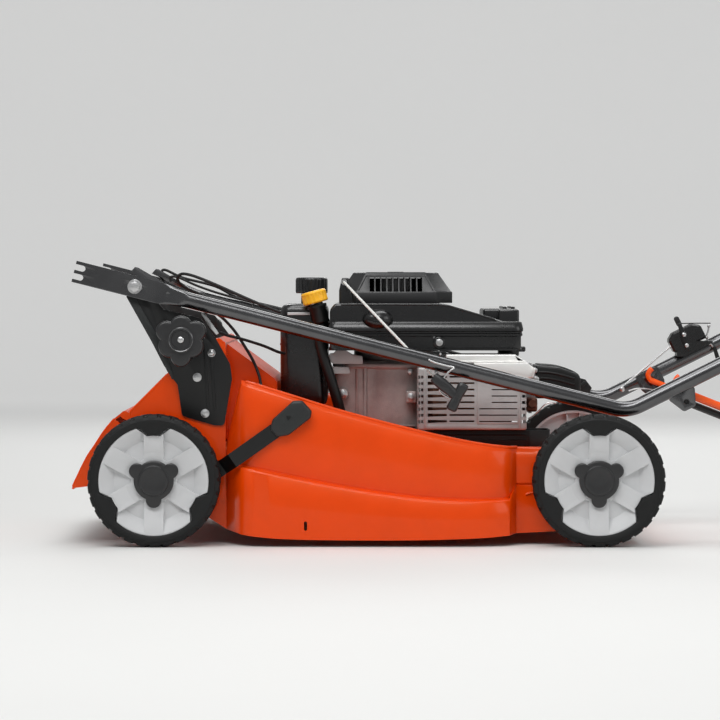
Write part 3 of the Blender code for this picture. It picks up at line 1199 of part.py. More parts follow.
def build():
    clear_scene()
    looks = make_materials()
    base = body("mower_datum", (0, 0, 0))
    make_deck(base, looks)
    make_housing(base, looks)
    make_guard(base, looks)

    rear = make_crank("rear_axle_crank", REAR_CRANK, REAR_AXLE_X, base, looks, False)
    front = make_crank("front_axle_crank", FRONT_CRANK, FRONT_AXLE_X, base, looks, True)
    make_lever(rear, looks)
    pin = polar(REAR_CRANK, math.pi / 2, LINK_ARM)
    make_link(body("lift_link_axis", (pin[0], 0, pin[1]), rear), looks)
    make_drive(rear, looks)
    for name, side in SIDES.items():
        make_wheel("rear_wheel_" + name, REAR_AXLE_X, side, rear, looks)
        make_wheel("front_wheel_" + name, FRONT_AXLE_X, side, front, looks)

    carrier = body("handle_carrier_axis", (PIVOT[0], 0, PIVOT[1]), base)
    handle = body("handle_axis", (PIVOT[0], 0, PIVOT[1]), carrier)
    for name, side in SIDES.items():
        make_bracket(side, name, base, looks)
        make_pivot_bolt(side, name, carrier, looks)
        make_knob(side, name, base, looks)
    make_handle_tube(handle, looks)
    make_grip(handle, looks)
    make_bail("brake_bail", BRAKE_BAIL_PIVOT, TUBE_Y - BRAKE_BAIL_INSET, 222 * MM, "bail", handle, looks)
    make_bail("drive_bail", DRIVE_BAIL_PIVOT, TUBE_Y - DRIVE_BAIL_INSET, 185 * MM, "black", handle, looks)
    make_throttle(handle, looks)
    make_rope_guide(handle, looks)
    make_starter_grip(handle, looks)
    make_cable_anchor(handle, looks)

    make_crankcase(base, looks)
    make_cylinder(base, looks)
    make_muffler(base, looks)
    make_blower(base, looks)
    make_rotor(base, looks)
    make_tanks(base, looks)
    make_intake(base, looks)
    make_rope(base, looks)
    make_cable(base, looks)


build()
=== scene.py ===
"""The lawn mower's looks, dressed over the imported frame. Metres, +Z up, front at +X."""
import json
import math

import bmesh
import bpy
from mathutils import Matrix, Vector


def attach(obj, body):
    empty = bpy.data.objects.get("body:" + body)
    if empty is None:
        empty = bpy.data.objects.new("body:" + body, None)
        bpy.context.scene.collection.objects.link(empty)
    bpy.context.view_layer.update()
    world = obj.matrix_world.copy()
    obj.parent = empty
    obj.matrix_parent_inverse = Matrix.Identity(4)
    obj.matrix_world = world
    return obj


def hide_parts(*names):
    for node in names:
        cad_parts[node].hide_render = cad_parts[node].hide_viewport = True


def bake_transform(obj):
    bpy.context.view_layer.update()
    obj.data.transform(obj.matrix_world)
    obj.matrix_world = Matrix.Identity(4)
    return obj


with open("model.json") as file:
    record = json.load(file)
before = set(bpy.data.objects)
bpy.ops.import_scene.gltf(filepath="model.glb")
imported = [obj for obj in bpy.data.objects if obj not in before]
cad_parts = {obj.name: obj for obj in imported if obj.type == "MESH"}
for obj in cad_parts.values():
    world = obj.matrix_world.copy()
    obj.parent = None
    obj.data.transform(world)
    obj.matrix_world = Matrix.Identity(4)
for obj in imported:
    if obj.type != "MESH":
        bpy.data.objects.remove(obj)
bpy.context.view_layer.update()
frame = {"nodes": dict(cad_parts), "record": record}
MM = 0.001
SHIFT = -0.143783
SIDES = {"right": -1, "left": 1}
AXLES = {"rear": -0.3105 + SHIFT, "front": 0.36 + SHIFT}
AXLE_Z = 0.1
WHEEL_FACE = 0.29
PIVOT = (-0.342 + SHIFT, 0.392)
LOWER = math.radians(-14.2)
UPPER = math.radians(26.4)
SHAFT_X = 0.0565 + SHIFT
CAMERA = (SHIFT, -4.69, 0.3915)
LENS = 146.67
PIXEL = 1.5 * MM  # on the near wheels' faces
HORIZON = 73  # pixels above the middle of the picture
FACE_DISTANCE = 4.4


def srgb(r, g, b):
    """Linear colour from the 0-255 values that it should show as."""
    return tuple((c / 255 / 12.92) if c <= 10 else ((c / 255 + 0.055) / 1.055) ** 2.4 for c in (r, g, b))


# Camera, light and floor

def set_view():
    scene = bpy.context.scene
    scene.view_settings.view_transform = "Standard"
    data = bpy.data.cameras.new("camera")
    data.lens = LENS
    data.sensor_width = 36
    data.clip_end = 60
    camera = bpy.data.objects.new("camera", data)
    scene.collection.objects.link(camera)
    camera.location = CAMERA
    tilt = math.atan2(HORIZON * PIXEL, FACE_DISTANCE)
    camera.rotation_euler = (math.pi / 2 - tilt, 0, 0)
    scene.camera = camera


def lamp(name, place, aim, size, power):
    data = bpy.data.lights.new(name, "AREA")
    data.shape = "RECTANGLE"
    data.size, data.size_y = size
    data.energy = power
    obj = bpy.data.objects.new(name, data)
    obj.location = place
    obj.rotation_euler = (Vector(aim) - Vector(place)).to_track_quat("-Z", "Y").to_euler()
    bpy.context.scene.collection.objects.link(obj)


def set_light():
    world = bpy.data.worlds.new("studio")
    bpy.context.scene.world = world
    world.use_nodes = True
    back = world.node_tree.nodes["Background"]
    back.inputs["Color"].default_value = (0.86, 0.87, 0.88, 1)
    back.inputs["Strength"].default_value = 0.42
    lamp("key", (-0.9, -2.6, 3.0), (0, 0, 0.2), (3.2, 1.1), 74)
    lamp("fill", (2.8, -2.2, 1.6), (0.1, 0, 0.2), (1.8, 1.8), 18)
    lamp("top", (0.1, -0.1, 3.2), (0, 0, 0.2), (3.4, 1.0), 46)
    lamp("back", (0.4, 3.2, 2.0), (0, 0, 0.3), (3.0, 1.0), 30)


def set_floor():
    bm = bmesh.new()
    rows = []
    for k in range(25):
        t = k / 24
        angle = max(0.0, (t - 0.7) / 0.3) * math.pi / 2
        y = -9 + 15 * min(t, 0.7) / 0.7 + 3 * math.sin(angle)
        z = 3 * (1 - math.cos(angle))
        rows.append([bm.verts.new((x, y, z - 0.0004)) for x in (-12, 12)])
    rows.append([bm.verts.new((x, 9, 11)) for x in (-12, 12)])
    for a, b in zip(rows, rows[1:]):
        bm.faces.new((a[0], a[1], b[1], b[0]))
    floor = mesh_object("floor", bm)
    floor.data.shade_smooth()
    finish = textured("pale floor", srgb(222, 222, 220), 0.7, grain=300, bump=0.02, mottle=0.012,
                      mottle_scale=1.5)
    floor.data.materials.append(finish)
    tree = finish.node_tree
    shader = tree.nodes["Principled BSDF"]
    # Painted light: the floor glows for camera rays only, more and more towards the back, so the far floor
    # and its upturn read brighter than the lamps light them.
    place = tree.nodes.new("ShaderNodeTexCoord")
    split = tree.nodes.new("ShaderNodeSeparateXYZ")
    painted_glow_ramp = tree.nodes.new("ShaderNodeMapRange")
    rays = tree.nodes.new("ShaderNodeLightPath")
    painted_glow = tree.nodes.new("ShaderNodeMath")
    painted_glow.operation = "MULTIPLY"
    for name, value in (("From Min", 0.4), ("From Max", 5.5), ("To Min", 0.0), ("To Max", 0.32)):
        painted_glow_ramp.inputs[name].default_value = value
    shader.inputs["Emission Color"].default_value = (1, 1, 1, 1)
    tree.links.new(place.outputs["Object"], split.inputs["Vector"])
    tree.links.new(split.outputs["Y"], painted_glow_ramp.inputs["Value"])
    tree.links.new(painted_glow_ramp.outputs["Result"], painted_glow.inputs[0])
    tree.links.new(rays.outputs["Is Camera Ray"], painted_glow.inputs[1])
    tree.links.new(painted_glow.outputs["Value"], shader.inputs["Emission Strength"])


# Materials, made of nodes

def plain(name, colour, roughness, metallic=0.0, **more):
    made = bpy.data.materials.new(name)
    made.use_nodes = True
    shader = made.node_tree.nodes["Principled BSDF"]
    shader.inputs["Base Color"].default_value = (*colour, 1)
    shader.inputs["Roughness"].default_value = roughness
    shader.inputs["Metallic"].default_value = metallic
    for key, value in more.items():
        shader.inputs[key.replace("_", " ")].default_value = value
    made.diffuse_color = (*colour, 1)
    return made


def textured(name, colour, roughness, metallic=0.0, grain=400.0, bump=0.05, mottle=0.12,
             mottle_scale=18.0, rough_spread=0.08, second=None, **more):
    """A finish whose colour drifts softly, whose gloss varies and whose surface has a fine grain."""
    made = plain(name, colour, roughness, metallic, **more)
    tree = made.node_tree
    shader = tree.nodes["Principled BSDF"]

    def add(kind, **values):
        item = tree.nodes.new(kind)
        for key, value in values.items():
            item.inputs[key].default_value = value
        return item
    place = add("ShaderNodeTexCoord")
    soft = add("ShaderNodeTexNoise", Scale=mottle_scale, Detail=4.0, Roughness=0.6)
    fine = add("ShaderNodeTexNoise", Scale=grain, Detail=3.0, Roughness=0.6)
    for item in (soft, fine):
        tree.links.new(place.outputs["Object"], item.inputs["Vector"])
    ramp = add("ShaderNodeValToRGB")
    darker = second or tuple(c * (1 - mottle) for c in colour)
    ramp.color_ramp.elements[0].position = 0.32
    ramp.color_ramp.elements[0].color = (*darker, 1)
    ramp.color_ramp.elements[1].position = 0.68
    ramp.color_ramp.elements[1].color = (*[min(1, c * (1 + mottle * 0.5)) for c in colour], 1)
    tree.links.new(soft.outputs["Fac"], ramp.inputs["Fac"])
    tree.links.new(ramp.outputs["Color"], shader.inputs["Base Color"])
    spread = add("ShaderNodeMapRange")
    spread.inputs["To Min"].default_value = max(0.02, roughness - rough_spread)
    spread.inputs["To Max"].default_value = min(1.0, roughness + rough_spread)
    tree.links.new(soft.outputs["Fac"], spread.inputs["Value"])
    tree.links.new(spread.outputs["Result"], shader.inputs["Roughness"])
    rise = add("ShaderNodeBump", Strength=bump, Distance=0.001)
    tree.links.new(fine.outputs["Fac"], rise.inputs["Height"])
    tree.links.new(rise.outputs["Normal"], shader.inputs["Normal"])
    return made


def braided(name, colour):
    """A cord's sheath, with crossing strands."""
    pitch = 900.0
    made = textured(name, colour, 0.8, grain=pitch, bump=0.4, mottle=0.25, mottle_scale=300)
    tree = made.node_tree
    wave = tree.nodes.new("ShaderNodeTexWave")
    wave.bands_direction = "DIAGONAL"
    wave.inputs["Scale"].default_value = pitch * 0.4
    wave.inputs["Distortion"].default_value = 1.5
    place = next(n for n in tree.nodes if n.bl_idname == "ShaderNodeTexCoord")
    tree.links.new(place.outputs["Object"], wave.inputs["Vector"])
    rise = next(n for n in tree.nodes if n.bl_idname == "ShaderNodeBump")
    tree.links.new(wave.outputs["Fac"], rise.inputs["Height"])
    return made


def make_finishes():
    return {
        "orange_paint": textured("orange paint", srgb(225, 65, 0), 0.32, grain=900, bump=0.02, mottle=0.05,
                                 Coat_Weight=0.25, Coat_Roughness=0.1, Specular_IOR_Level=0.4,
                                 Specular_Tint=(1.0, 0.66, 0.34, 1)),
        "black_paint": textured("black paint", srgb(15, 16, 16), 0.4, grain=1100, bump=0.08, mottle=0.15,
                                Specular_IOR_Level=0.4),
        "graphite_paint": textured("graphite paint", srgb(98, 98, 99), 0.22, 1.0, grain=1200, bump=0.008,
                                   rough_spread=0.03),
        "silver_paint": textured("silver paint", srgb(180, 177, 176), 0.42, 0.3, grain=900, bump=0.1,
                                 mottle=0.12, mottle_scale=30),
        "bail_coat": textured("bail coat", srgb(255, 92, 14), 0.3, grain=500, bump=0.04, mottle=0.06),
        "black_plastic": textured("black plastic", srgb(9, 9, 10), 0.27, grain=1600, bump=0.06, mottle=0.2,
                                  Specular_IOR_Level=0.55, Coat_Weight=0.25, Coat_Roughness=0.12),
        "charcoal_plastic": textured("charcoal plastic", srgb(30, 30, 31), 0.4, grain=1500, bump=0.12,
                                     mottle=0.12, Coat_Weight=0.15, Coat_Roughness=0.16),
        "slate_plastic": textured("slate plastic", srgb(28, 31, 31), 0.45, grain=1500, bump=0.2,
                                  mottle=0.1),
        "grey_plastic": textured("grey plastic", srgb(196, 197, 198), 0.42, grain=1400, bump=0.1,
                                 mottle=0.06),
        "yellow_plastic": textured("yellow plastic", srgb(255, 186, 30), 0.35, grain=900, bump=0.06,
                                   mottle=0.07),
        "tyre_rubber": textured("tyre rubber", srgb(13, 14, 14), 0.6, grain=1300, bump=0.3, mottle=0.3,
                                Specular_IOR_Level=0.35),
        "black_rubber": textured("black rubber", srgb(12, 12, 12), 0.55, grain=1200, bump=0.2, mottle=0.3,
                                 Specular_IOR_Level=0.4),
        "foam_grip": textured("foam", srgb(18, 18, 18), 0.92, grain=1900, bump=0.7, mottle=0.35,
                              mottle_scale=900),
        "zinc_steel": textured("zinc steel", srgb(200, 200, 200), 0.3, 0.95, grain=900, bump=0.06,
                               mottle=0.14, mottle_scale=45),
        "heated_steel": textured("heated steel", srgb(150, 112, 92), 0.5, 0.8, grain=600, bump=0.15,
                                 second=srgb(88, 52, 40), mottle_scale=22),
        "cast_alloy": textured("cast alloy", srgb(176, 164, 161), 0.42, 0.4, grain=520, bump=0.5,
                               mottle=0.2,
                               mottle_scale=35),
        "bare_alloy": textured("bare alloy", srgb(170, 170, 172), 0.4, 0.8, grain=700, bump=0.3,
                               mottle=0.15),
        "bright_alloy": textured("bright alloy", srgb(240, 239, 236), 0.3, 0.3, grain=700, bump=0.15,
                                 mottle=0.06),
        "cast_iron": textured("cast iron", srgb(84, 82, 82), 0.6, 0.7, grain=420, bump=0.7, mottle=0.3),
        "white_cord": braided("white cord", srgb(236, 236, 232)),
    }


# Meshes

def mesh_object(name, bm):
    bmesh.ops.recalc_face_normals(bm, faces=bm.faces[:])
    mesh = bpy.data.meshes.new(name)
    bm.to_mesh(mesh)
    bm.free()
    obj = bpy.data.objects.new(name, mesh)
    bpy.context.scene.collection.objects.link(obj)
    return obj


def polar(origin, angle, distance):
    return (origin[0] + distance * math.cos(angle), origin[1] + distance * math.sin(angle))


def beside(origin, angle, along, across):
    return polar(polar(origin, angle, along), angle + math.pi / 2, across)


def lofted(rings, ring_closed=False):
    bm = bmesh.new()
    rows = [[bm.verts.new(point) for point in ring] for ring in rings]
    count = len(rows[0])
    pairs = list(zip(rows, rows[1:]))
    if ring_closed:
        pairs.append((rows[-1], rows[0]))
    for low, high in pairs:
        for k in range(count):
            bm.faces.new((low[k], low[(k + 1) % count], high[(k + 1) % count], high[k]))
    if not ring_closed:
        bm.faces.new(rows[0][::-1])
        bm.faces.new(rows[-1])
    return mesh_object("piece", bm)


def lift(point, axis, height):
    if axis == "Y":
        return (point[0], height, point[1])
    return (point[0], point[1], height)


def prism(outline, axis, low, high):
    low, high = sorted((low, high))
    return lofted([[lift(point, axis, height) for point in outline] for height in (low, high)])


def block(x, y, z):
    x, y, z = sorted(x), sorted(y), sorted(z)
    return prism([(x[0], z[0]), (x[1], z[0]), (x[1], z[1]), (x[0], z[1])], "Y", y[0], y[1])


def circle(centre, radius, sides, start=0.0):
    return [polar(centre, start + 2 * math.pi * k / sides, radius) for k in range(sides)]


def arc(centre, radius, first, last, steps):
    return [polar(centre, math.radians(first + (last - first) * k / steps), radius)
            for k in range(steps + 1)]


def rod(centre, radius, axis, low, high, sides=32):
    return prism(circle(centre, radius, sides), axis, low, high)


def hexagon(centre, radius, axis, low, high):
    return prism(circle(centre, radius, 6, 0.3), axis, low, high)


def turned(profile, centre, axis, sides=48):
    rings = []
    for k in range(sides):
        angle = 2 * math.pi * k / sides
        rings.append([lift(polar(centre, angle, radius), axis, height) for radius, height in profile])
    return lofted(rings, ring_closed=True)


def stacked(profile, centre, axis, sides=48):
    return lofted([[lift(p, axis, height) for p in circle(centre, radius, sides)]
                   for radius, height in profile])


def capsule(first, last, half, steps=10):
    heading = math.degrees(math.atan2(last[1] - first[1], last[0] - first[0]))
    return (arc(last, half, heading - 90, heading + 90, steps)
            + arc(first, half, heading + 90, heading + 270, steps))


def round_rings(path, radius, sides, side=None):
    path = [Vector(point) for point in path]
    tangents = []
    for k in range(len(path)):
        before = path[max(k - 1, 0)]
        after = path[min(k + 1, len(path) - 1)]
        tangents.append((after - before).normalized())
    side = side or tangents[0].orthogonal().normalized()
    rings = []
    for point, tangent in zip(path, tangents):
        side = (side - tangent * side.dot(tangent)).normalized()
        other = tangent.cross(side)
        rings.append([point + radius * (math.cos(a) * side + math.sin(a) * other)
                      for a in (2 * math.pi * (k + 0.5) / sides for k in range(sides))])
    return rings


def swept(path, radius, sides=16):
    return lofted(round_rings(path, radius, sides))


def rounded_path(points, radius, steps=12):
    points = [Vector(point) for point in points]
    made = [points[0]]
    for before, corner, after in zip(points, points[1:], points[2:]):
        back = (before - corner).normalized()
        ahead = (after - corner).normalized()
        half = back.angle(ahead) / 2
        reach = radius / math.tan(half)
        centre = corner + (back + ahead).normalized() * (radius / math.sin(half))
        start = (corner + back * reach - centre).normalized()
        end = (corner + ahead * reach - centre).normalized()
        made += [centre + radius * start.slerp(end, k / steps) for k in range(steps + 1)]
    made.append(points[-1])
    return made


def smooth_path(points, steps=6):
    points = [Vector(point) for point in points]
    ends = [points[0] * 2 - points[1]] + points + [points[-1] * 2 - points[-2]]
    made = []
    for a, b, c, d in zip(ends, ends[1:], ends[2:], ends[3:]):
        for k in range(steps):
            t = k / steps
            made.append(0.5 * (2 * b + (c - a) * t + (2 * a - 5 * b + 4 * c - d) * t * t
                               + (3 * b - a - 3 * c + d) * t * t * t))
    return made + [points[-1]]


def applied(obj):
    """Turn a piece's modifiers into its mesh."""
    seen = obj.evaluated_get(bpy.context.evaluated_depsgraph_get())
    mesh = bpy.data.meshes.new_from_object(seen)
    obj.modifiers.clear()
    obj.data = mesh
    return obj


def combined(first, others, operation):
    for other in others:
        modifier = first.modifiers.new("Boolean", "BOOLEAN")
        modifier.operation = operation
        modifier.object = other
        applied(first)
        bpy.data.objects.remove(other, do_unlink=True)
    return first


def joined(first, *others):
    return combined(first, others, "UNION")


def cut(first, *others):
    return combined(first, others, "DIFFERENCE")


def together(first, *others):
    """One object out of several without a Boolean, for pieces that only touch."""
    bm = bmesh.new()
    for obj in (first,) + others:
        bm.from_mesh(obj.data)
    for obj in others:
        bpy.data.objects.remove(obj, do_unlink=True)
    bm.to_mesh(first.data)
    bm.free()
    return first


def bevelled(obj, width, segments=3, angle=30):
    bevel = obj.modifiers.new("Bevel", "BEVEL")
    bevel.width = width
    bevel.segments = segments
    bevel.limit_method = "ANGLE"
    bevel.angle_limit = math.radians(angle)
    bevel.use_clamp_overlap = True
    return applied(obj)


def piece(obj, name, finish, body, *nodes, smooth=35):
    """Name a piece, give it its finish and body, and let it stand for its CAD nodes."""
    obj.name = name
    obj.data.name = name
    obj.data.materials.clear()
    obj.data.materials.append(LOOKS[finish])
    obj.data.shade_smooth()
    obj.data.set_sharp_from_angle(angle=math.radians(smooth))
    if isinstance(body, tuple):
        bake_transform(obj)
    else:
        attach(obj, body)
    if nodes:
        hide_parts(*nodes)
    return obj


def at(x, z):
    """A side-view point from millimetres measured ahead of the datum and above the ground."""
    return (x * MM + SHIFT, z * MM)


def ahead(*places):
    """Frame x values from millimetres ahead of the datum."""
    return [x * MM + SHIFT for x in places]


def placed(*points):
    """Flat points from millimetres about the datum."""
    return [at(x, z) for x, z in points]


def spot(x, y, z):
    """A place in the frame from millimetres about the datum."""
    return (x * MM + SHIFT, y * MM, z * MM)


def along_line(origin, angle, *points):
    """Points in millimetres along and across a line from an origin."""
    return [beside(origin, angle, a * MM, b * MM) for a, b in points]


def rounded(points, radius, steps=5):
    """Swap each corner of a flat closed outline for a small arc."""
    made = []
    count = len(points)
    for k in range(count):
        before, corner, after = (Vector((*points[(k + d) % count], 0)) for d in (-1, 0, 1))
        back, ahead = before - corner, after - corner
        half = back.angle(ahead) / 2
        if half > 1.5:
            made.append(points[k])
            continue
        reach = min(radius / math.tan(half), back.length * 0.45, ahead.length * 0.45)
        size = reach * math.tan(half)
        back, ahead = back.normalized(), ahead.normalized()
        centre = corner + (back + ahead).normalized() * (size / math.sin(half))
        start = (corner + back * reach - centre).normalized()
        end = (corner + ahead * reach - centre).normalized()
        made += [tuple(centre + size * start.slerp(end, i / steps))[:2] for i in range(steps + 1)]
    return made


# Wheels

def tyre(centre, side):
    """A rubber ring with staggered lugs and three lobes over the rim's face."""
    rings = []
    for degrees in range(360):
        off = min(abs((degrees - a + 180) % 360 - 180) for a in (90, 210, 330))
        over = 1 - min(1, max(0, (off - 7.0) / 9.4))
        lip = (82.9 - 14.2 * over) * MM
        groove = [2.2 * MM if ((degrees + shift) % 12) < 3 else 0 for shift in (0, 6)]
        mid = 0.5 * (groove[0] + groove[1])
        profile = [(83.6 * MM, 12.2), (lip, 12.2), (lip, 2.2), (lip + 0.8 * MM, 1.5)]
        profile += [(86 * MM, 0.9), (89.5 * MM, 0.2), (92 * MM, 0.5), (93 * MM, 1.6),
                    (96.2 * MM - groove[0] * 0.6, 2.4), (98.8 * MM - groove[0], 4.2),
                    (100 * MM - groove[0], 7), (100 * MM - groove[0], 17.5), (100 * MM - mid, 18.5),
                    (100 * MM - mid, 21.5), (100 * MM - groove[1], 22.5), (100 * MM - groove[1], 33),
                    (98.8 * MM - groove[1], 35.8), (95.5 * MM, 38), (91 * MM, 39.8), (84 * MM, 39.5)]
        rings.append([(x, side * (WHEEL_FACE - depth * MM), z)
                      for radius, depth in profile
                      for x, z in [polar(centre, math.radians(degrees), radius)]])
    return lofted(rings, ring_closed=True)


def rim(centre, side):
    """A moulded disc with six flat spokes, ramped pockets between them and a barrel behind."""
    def out(depth):
        return side * (WHEEL_FACE - depth * MM)
    profile = [(8.5, 12), (42, 12), (43.2, 11.6), (45, 11), (69, 5.4), (71.5, 4.6), (82, 2.8), (83.4, 3.3),
               (83.5, 39), (79.5, 39), (79.5, 27.5), (8.5, 27.5)]
    disc = turned([(r * MM, out(d)) for r, d in profile], centre, "Y", 120)
    cutters = []
    for lobe in (90, 210, 330):
        wedge = (arc(centre, 68.0 * MM, lobe - 8.2, lobe + 8.2, 8)
                 + arc(centre, 90 * MM, lobe + 21.6, lobe - 21.6, 3))
        cutters.append(prism(rounded(wedge, 1.5 * MM), "Y", out(-8), out(12.4)))
    for pocket in range(6):
        levels = []
        for depth, near, far in ((-8, 31.6, 81), (3, 31.6, 79.8), (16.5, 36, 61)):
            inner, outer = (30 - math.degrees(math.asin(14.8 / r)) for r in (near, far))
            wedge = (arc(centre, near * MM, 60 * pocket - inner, 60 * pocket + inner, 3)
                     + arc(centre, far * MM, 60 * pocket + outer, 60 * pocket - outer, 10))
            levels.append([(x, out(depth), z) for x, z in wedge])
        cutters.append(lofted(levels))
    disc = bevelled(cut(disc, *cutters), 0.9 * MM, 3, 28)
    ribs = []
    for spoke in range(6):
        heading = math.radians(30 + 60 * spoke)
        for lean in (-0.33, 0.33):
            ribs.append(prism(capsule(polar(centre, heading + lean * 1.3, 20 * MM),
                                      polar(centre, heading + lean * 0.42, 80 * MM), 0.9 * MM, 4),
                              "Y", out(27), out(36)))
    return together(disc,
                    turned([(9 * MM, out(27)), (14 * MM, out(27)), (14 * MM, out(38)), (9 * MM, out(38))],
                                 centre, "Y", 32), *ribs)


def cap(centre, side):
    """The three-lobed hub cap with its raised boss and a shallow dish in it."""
    outline = []
    for k in range(150):
        degrees = 360 * k / 150
        off = math.radians(min(abs((degrees - a + 180) % 360 - 180) for a in (30, 150, 270)))
        inside = 0.0115 ** 2 - (0.0295 * math.sin(off)) ** 2
        radius = 0.0295 * math.cos(off) + math.sqrt(inside) if inside > 0 and off < 1 else 0
        outline.append(polar((0, 0), math.radians(degrees), max(0.030, radius)))

    def ring(scale, depth, shape=outline):
        return [(centre[0] + x * scale, side * (WHEEL_FACE - depth * MM), centre[1] + z * scale) for x,
                z in shape]
    boss = circle((0, 0), 22.5 * MM, 150)
    rings = [ring(1, 11.7), ring(1, 6.6), ring(0.985, 5.6), ring(0.95, 5.0), ring(0.9, 4.8),
             ring(1.03, 4.7, boss), ring(1.0, 4.2, boss), ring(0.98, 2.4, boss), ring(0.94, 2.0, boss),
             ring(0.8, 2.0, boss), ring(0.74, 2.5, boss), ring(0.3, 2.7, boss)]
    return lofted(rings)


def make_wheels():
    for end, axle in AXLES.items():
        for name, side in SIDES.items():
            body = "%s_wheel_%s" % (end, name)
            centre = (axle, AXLE_Z)
            piece(tyre(centre, side), body + "_tread", "tyre_rubber", body, body + "_tyre", smooth=32)
            piece(rim(centre, side), body + "_disc", "grey_plastic", body, body + "_rim", smooth=30)
            piece(cap(centre, side), body + "_hubcap", "charcoal_plastic", body, body + "_cap", smooth=30)


# Deck

STATIONS = [(-232, 40, 216, 117, 215.5, 156), (-204, 22, 216, 117, 215.5, 156),
            (-180, 18, 268, 118, 250, 250),
            (-166, 16, 276, 116, 257, 247), (-120, 12, 280, 106.5, 260, 233), (-33, 10, 280, 89, 260, 206),
            (81, 10, 280, 72, 260, 176), (158, 12, 280, 67, 260, 159), (200, 14, 275, 67.5, 257, 152),
            (226, 16, 265, 68, 248, 149), (238, 17, 233.5, 90, 232.5, 148.5),
            (300, 20, 233.5, 90, 232.5, 147.5),
            (400, 24, 229.5, 90, 228.5, 130), (430, 32, 219.5, 85, 218.5, 112)]


def deck_rows():
    """The stations with smooth ones between them along the bulge and the front."""
    rows = []
    for k in range(len(STATIONS) - 1):
        a, b, c, d = (STATIONS[min(max(k + i, 0), len(STATIONS) - 1)] for i in (-1, 0, 1, 2))
        smooth = 3 <= k <= 7
        steps = 6 if smooth else 2
        for i in range(steps):
            t = i / steps
            if smooth:
                near = (c[0] - b[0]) / (c[0] - a[0])
                far = (c[0] - b[0]) / (d[0] - b[0])
                rows.append(tuple(q + t * (r - q) + t * (1 - t) * ((1 - t) * ((r - p) * near - (r - q))
                                                                   - t * ((s - q) * far - (r - q)))
                                  for p, q, r, s in zip(a, b, c, d)))
            else:
                rows.append(tuple(q + t * (r - q) for q, r in zip(b, c)))
    return rows + [STATIONS[-1]]


def deck_section(row, wall):
    bottom, skirt, ledge, side, ridge = row[1:]
    pan = min(145, ridge - 6)
    if wall:
        bottom -= 10
        pan -= wall
    top = ridge - 9 - wall * 0.4
    low = ledge + 5 - wall * 0.6
    bulge = 2.4 if side > 236 else 0.4
    points = [(skirt - wall, bottom), (skirt - wall * 0.9, (bottom + ledge) / 2),
              (skirt - 0.8 - wall, ledge - 2 - wall * 0.6),
              (skirt - 3.5 - wall, ledge + 1.2 - wall * 0.6), (side + 1 - wall, ledge + 4 - wall * 0.6),
              (side + bulge * 0.7 - wall, low + (top - low) * 0.25),
              (side + bulge - wall, low + (top - low) * 0.5),
              (side + bulge * 0.5 - wall, low + (top - low) * 0.78), (side - 3 - wall, top),
              (side - 6 - wall * 0.8, ridge - 3 - wall), (side - 10 - wall * 0.5, ridge - wall),
              (side - 18 + wall * 0.6, ridge - 0.4 - wall),
              (side - 22 + wall * 0.8, ridge - 3 - wall * 0.6),
              (side - 25 + wall, ridge - 8 - wall * 0.4 if ridge - 12 > pan else pan),
              (side - 26 + wall, pan)]
    return [(y * MM, z * MM) for y, z in points]


def deck_solid(rows, wall):
    rings = []
    for row in rows:
        half = deck_section(row, wall)
        x = row[0] * MM + SHIFT
        rings.append([(x, y, z) for y, z in half] + [(x, -y, z) for y, z in half[::-1]])
    return lofted(rings)


def make_deck():
    rows = deck_rows()

    def inset(x):
        if x < -160:
            return x + 3
        return x - 3 if 214 < x <= 238 or x > 425 else x
    inner = [(inset(row[0]),) + row[1:] for row in rows]
    deck = cut(deck_solid(rows, 0), deck_solid(inner, 3))
    deck = cut(deck, rod((0.4125 + SHIFT, 0.083), 7 * MM, "Y", -0.3, 0.3),
               rod((SHAFT_X, 0), 40 * MM, "Z", 0.1, 0.2, 48),
               block(ahead(-206, -164), (0.2318, 0.2405), (0.103, 0.135)),
               block(ahead(208, 240), (0.2318, 0.2405), (0.103, 0.135)),
               block(ahead(-242, -222), (-0.05, 0.05), (0.112, 0.132)))
    slots = []
    for side in SIDES.values():
        slots.append(prism(capsule(at(-82, 27), at(-82, 36), 2.4 * MM), "Y", side * 0.27, side * 0.29))
    deck = cut(deck, *slots)
    piece(deck, "deck_shell", "orange_paint", "mower", "mower_deck", smooth=40)
    for name, side in SIDES.items():
        pegs = [rod(at(-82, z), 1.6 * MM, "Y", side * 0.2765, side * 0.2806, 14) for z in (22.5, 40)]
        step = [spot(x, side * y, z) for x, y, z in
                ((252, 233.6, 76), (263, 233.8, 79), (300, 233.8, 79.5), (392, 230, 79))]
        fold = swept(smooth_path(step), 1.6 * MM, 10)
        crest = [(row[0] * MM + SHIFT, side * (row[4] - 8.5) * MM, (row[5] - 1.2) * MM) for row in rows
                 if -176 <= row[0] <= 238]
        bead = swept(smooth_path(crest, 2), 2.6 * MM, 12)
        piece(together(fold, bead, *pegs), "deck_trim_" + name, "orange_paint", "mower", smooth=60)


# Handle

BEND = polar(PIVOT, LOWER, 0.7716)
HANDLE_TOP = polar(BEND, UPPER, 0.34)
TUBE_Y = 0.2365
STUD = polar(PIVOT, math.radians(-48), 0.1076)


def fork_ring(side, along, thick, half, middle):
    ring = []
    for k in range(36):
        angle = 2 * math.pi * (k + 0.5) / 36
        across = -half * max(-1, min(1, 1.12 * math.sin(angle)))
        outward = thick / 2 * max(-1, min(1, (4 if thick < 0.01 else 1.5) * math.cos(angle)))
        x, z = beside(PIVOT, LOWER, along, across)
        ring.append((x, side * (middle + outward), z))
    return ring


def tube_profile(side):
    """The flattened end, swelling into the round tube over 60 mm."""
    flat = [fork_ring(side, along, 0.005, 0.0165, 0.2325) for along in (-0.095, -0.06, -0.02, 0.02, 0.03)]
    swell = []
    for k in range(1, 9):
        t = k / 9
        s = t * t * (3 - 2 * t)
        swell.append(fork_ring(side, 0.03 + 0.052 * t, 0.005 + 0.019 * s, 0.0165 - 0.0045 * s,
                               0.2325 + 0.004 * s))
    return flat + swell


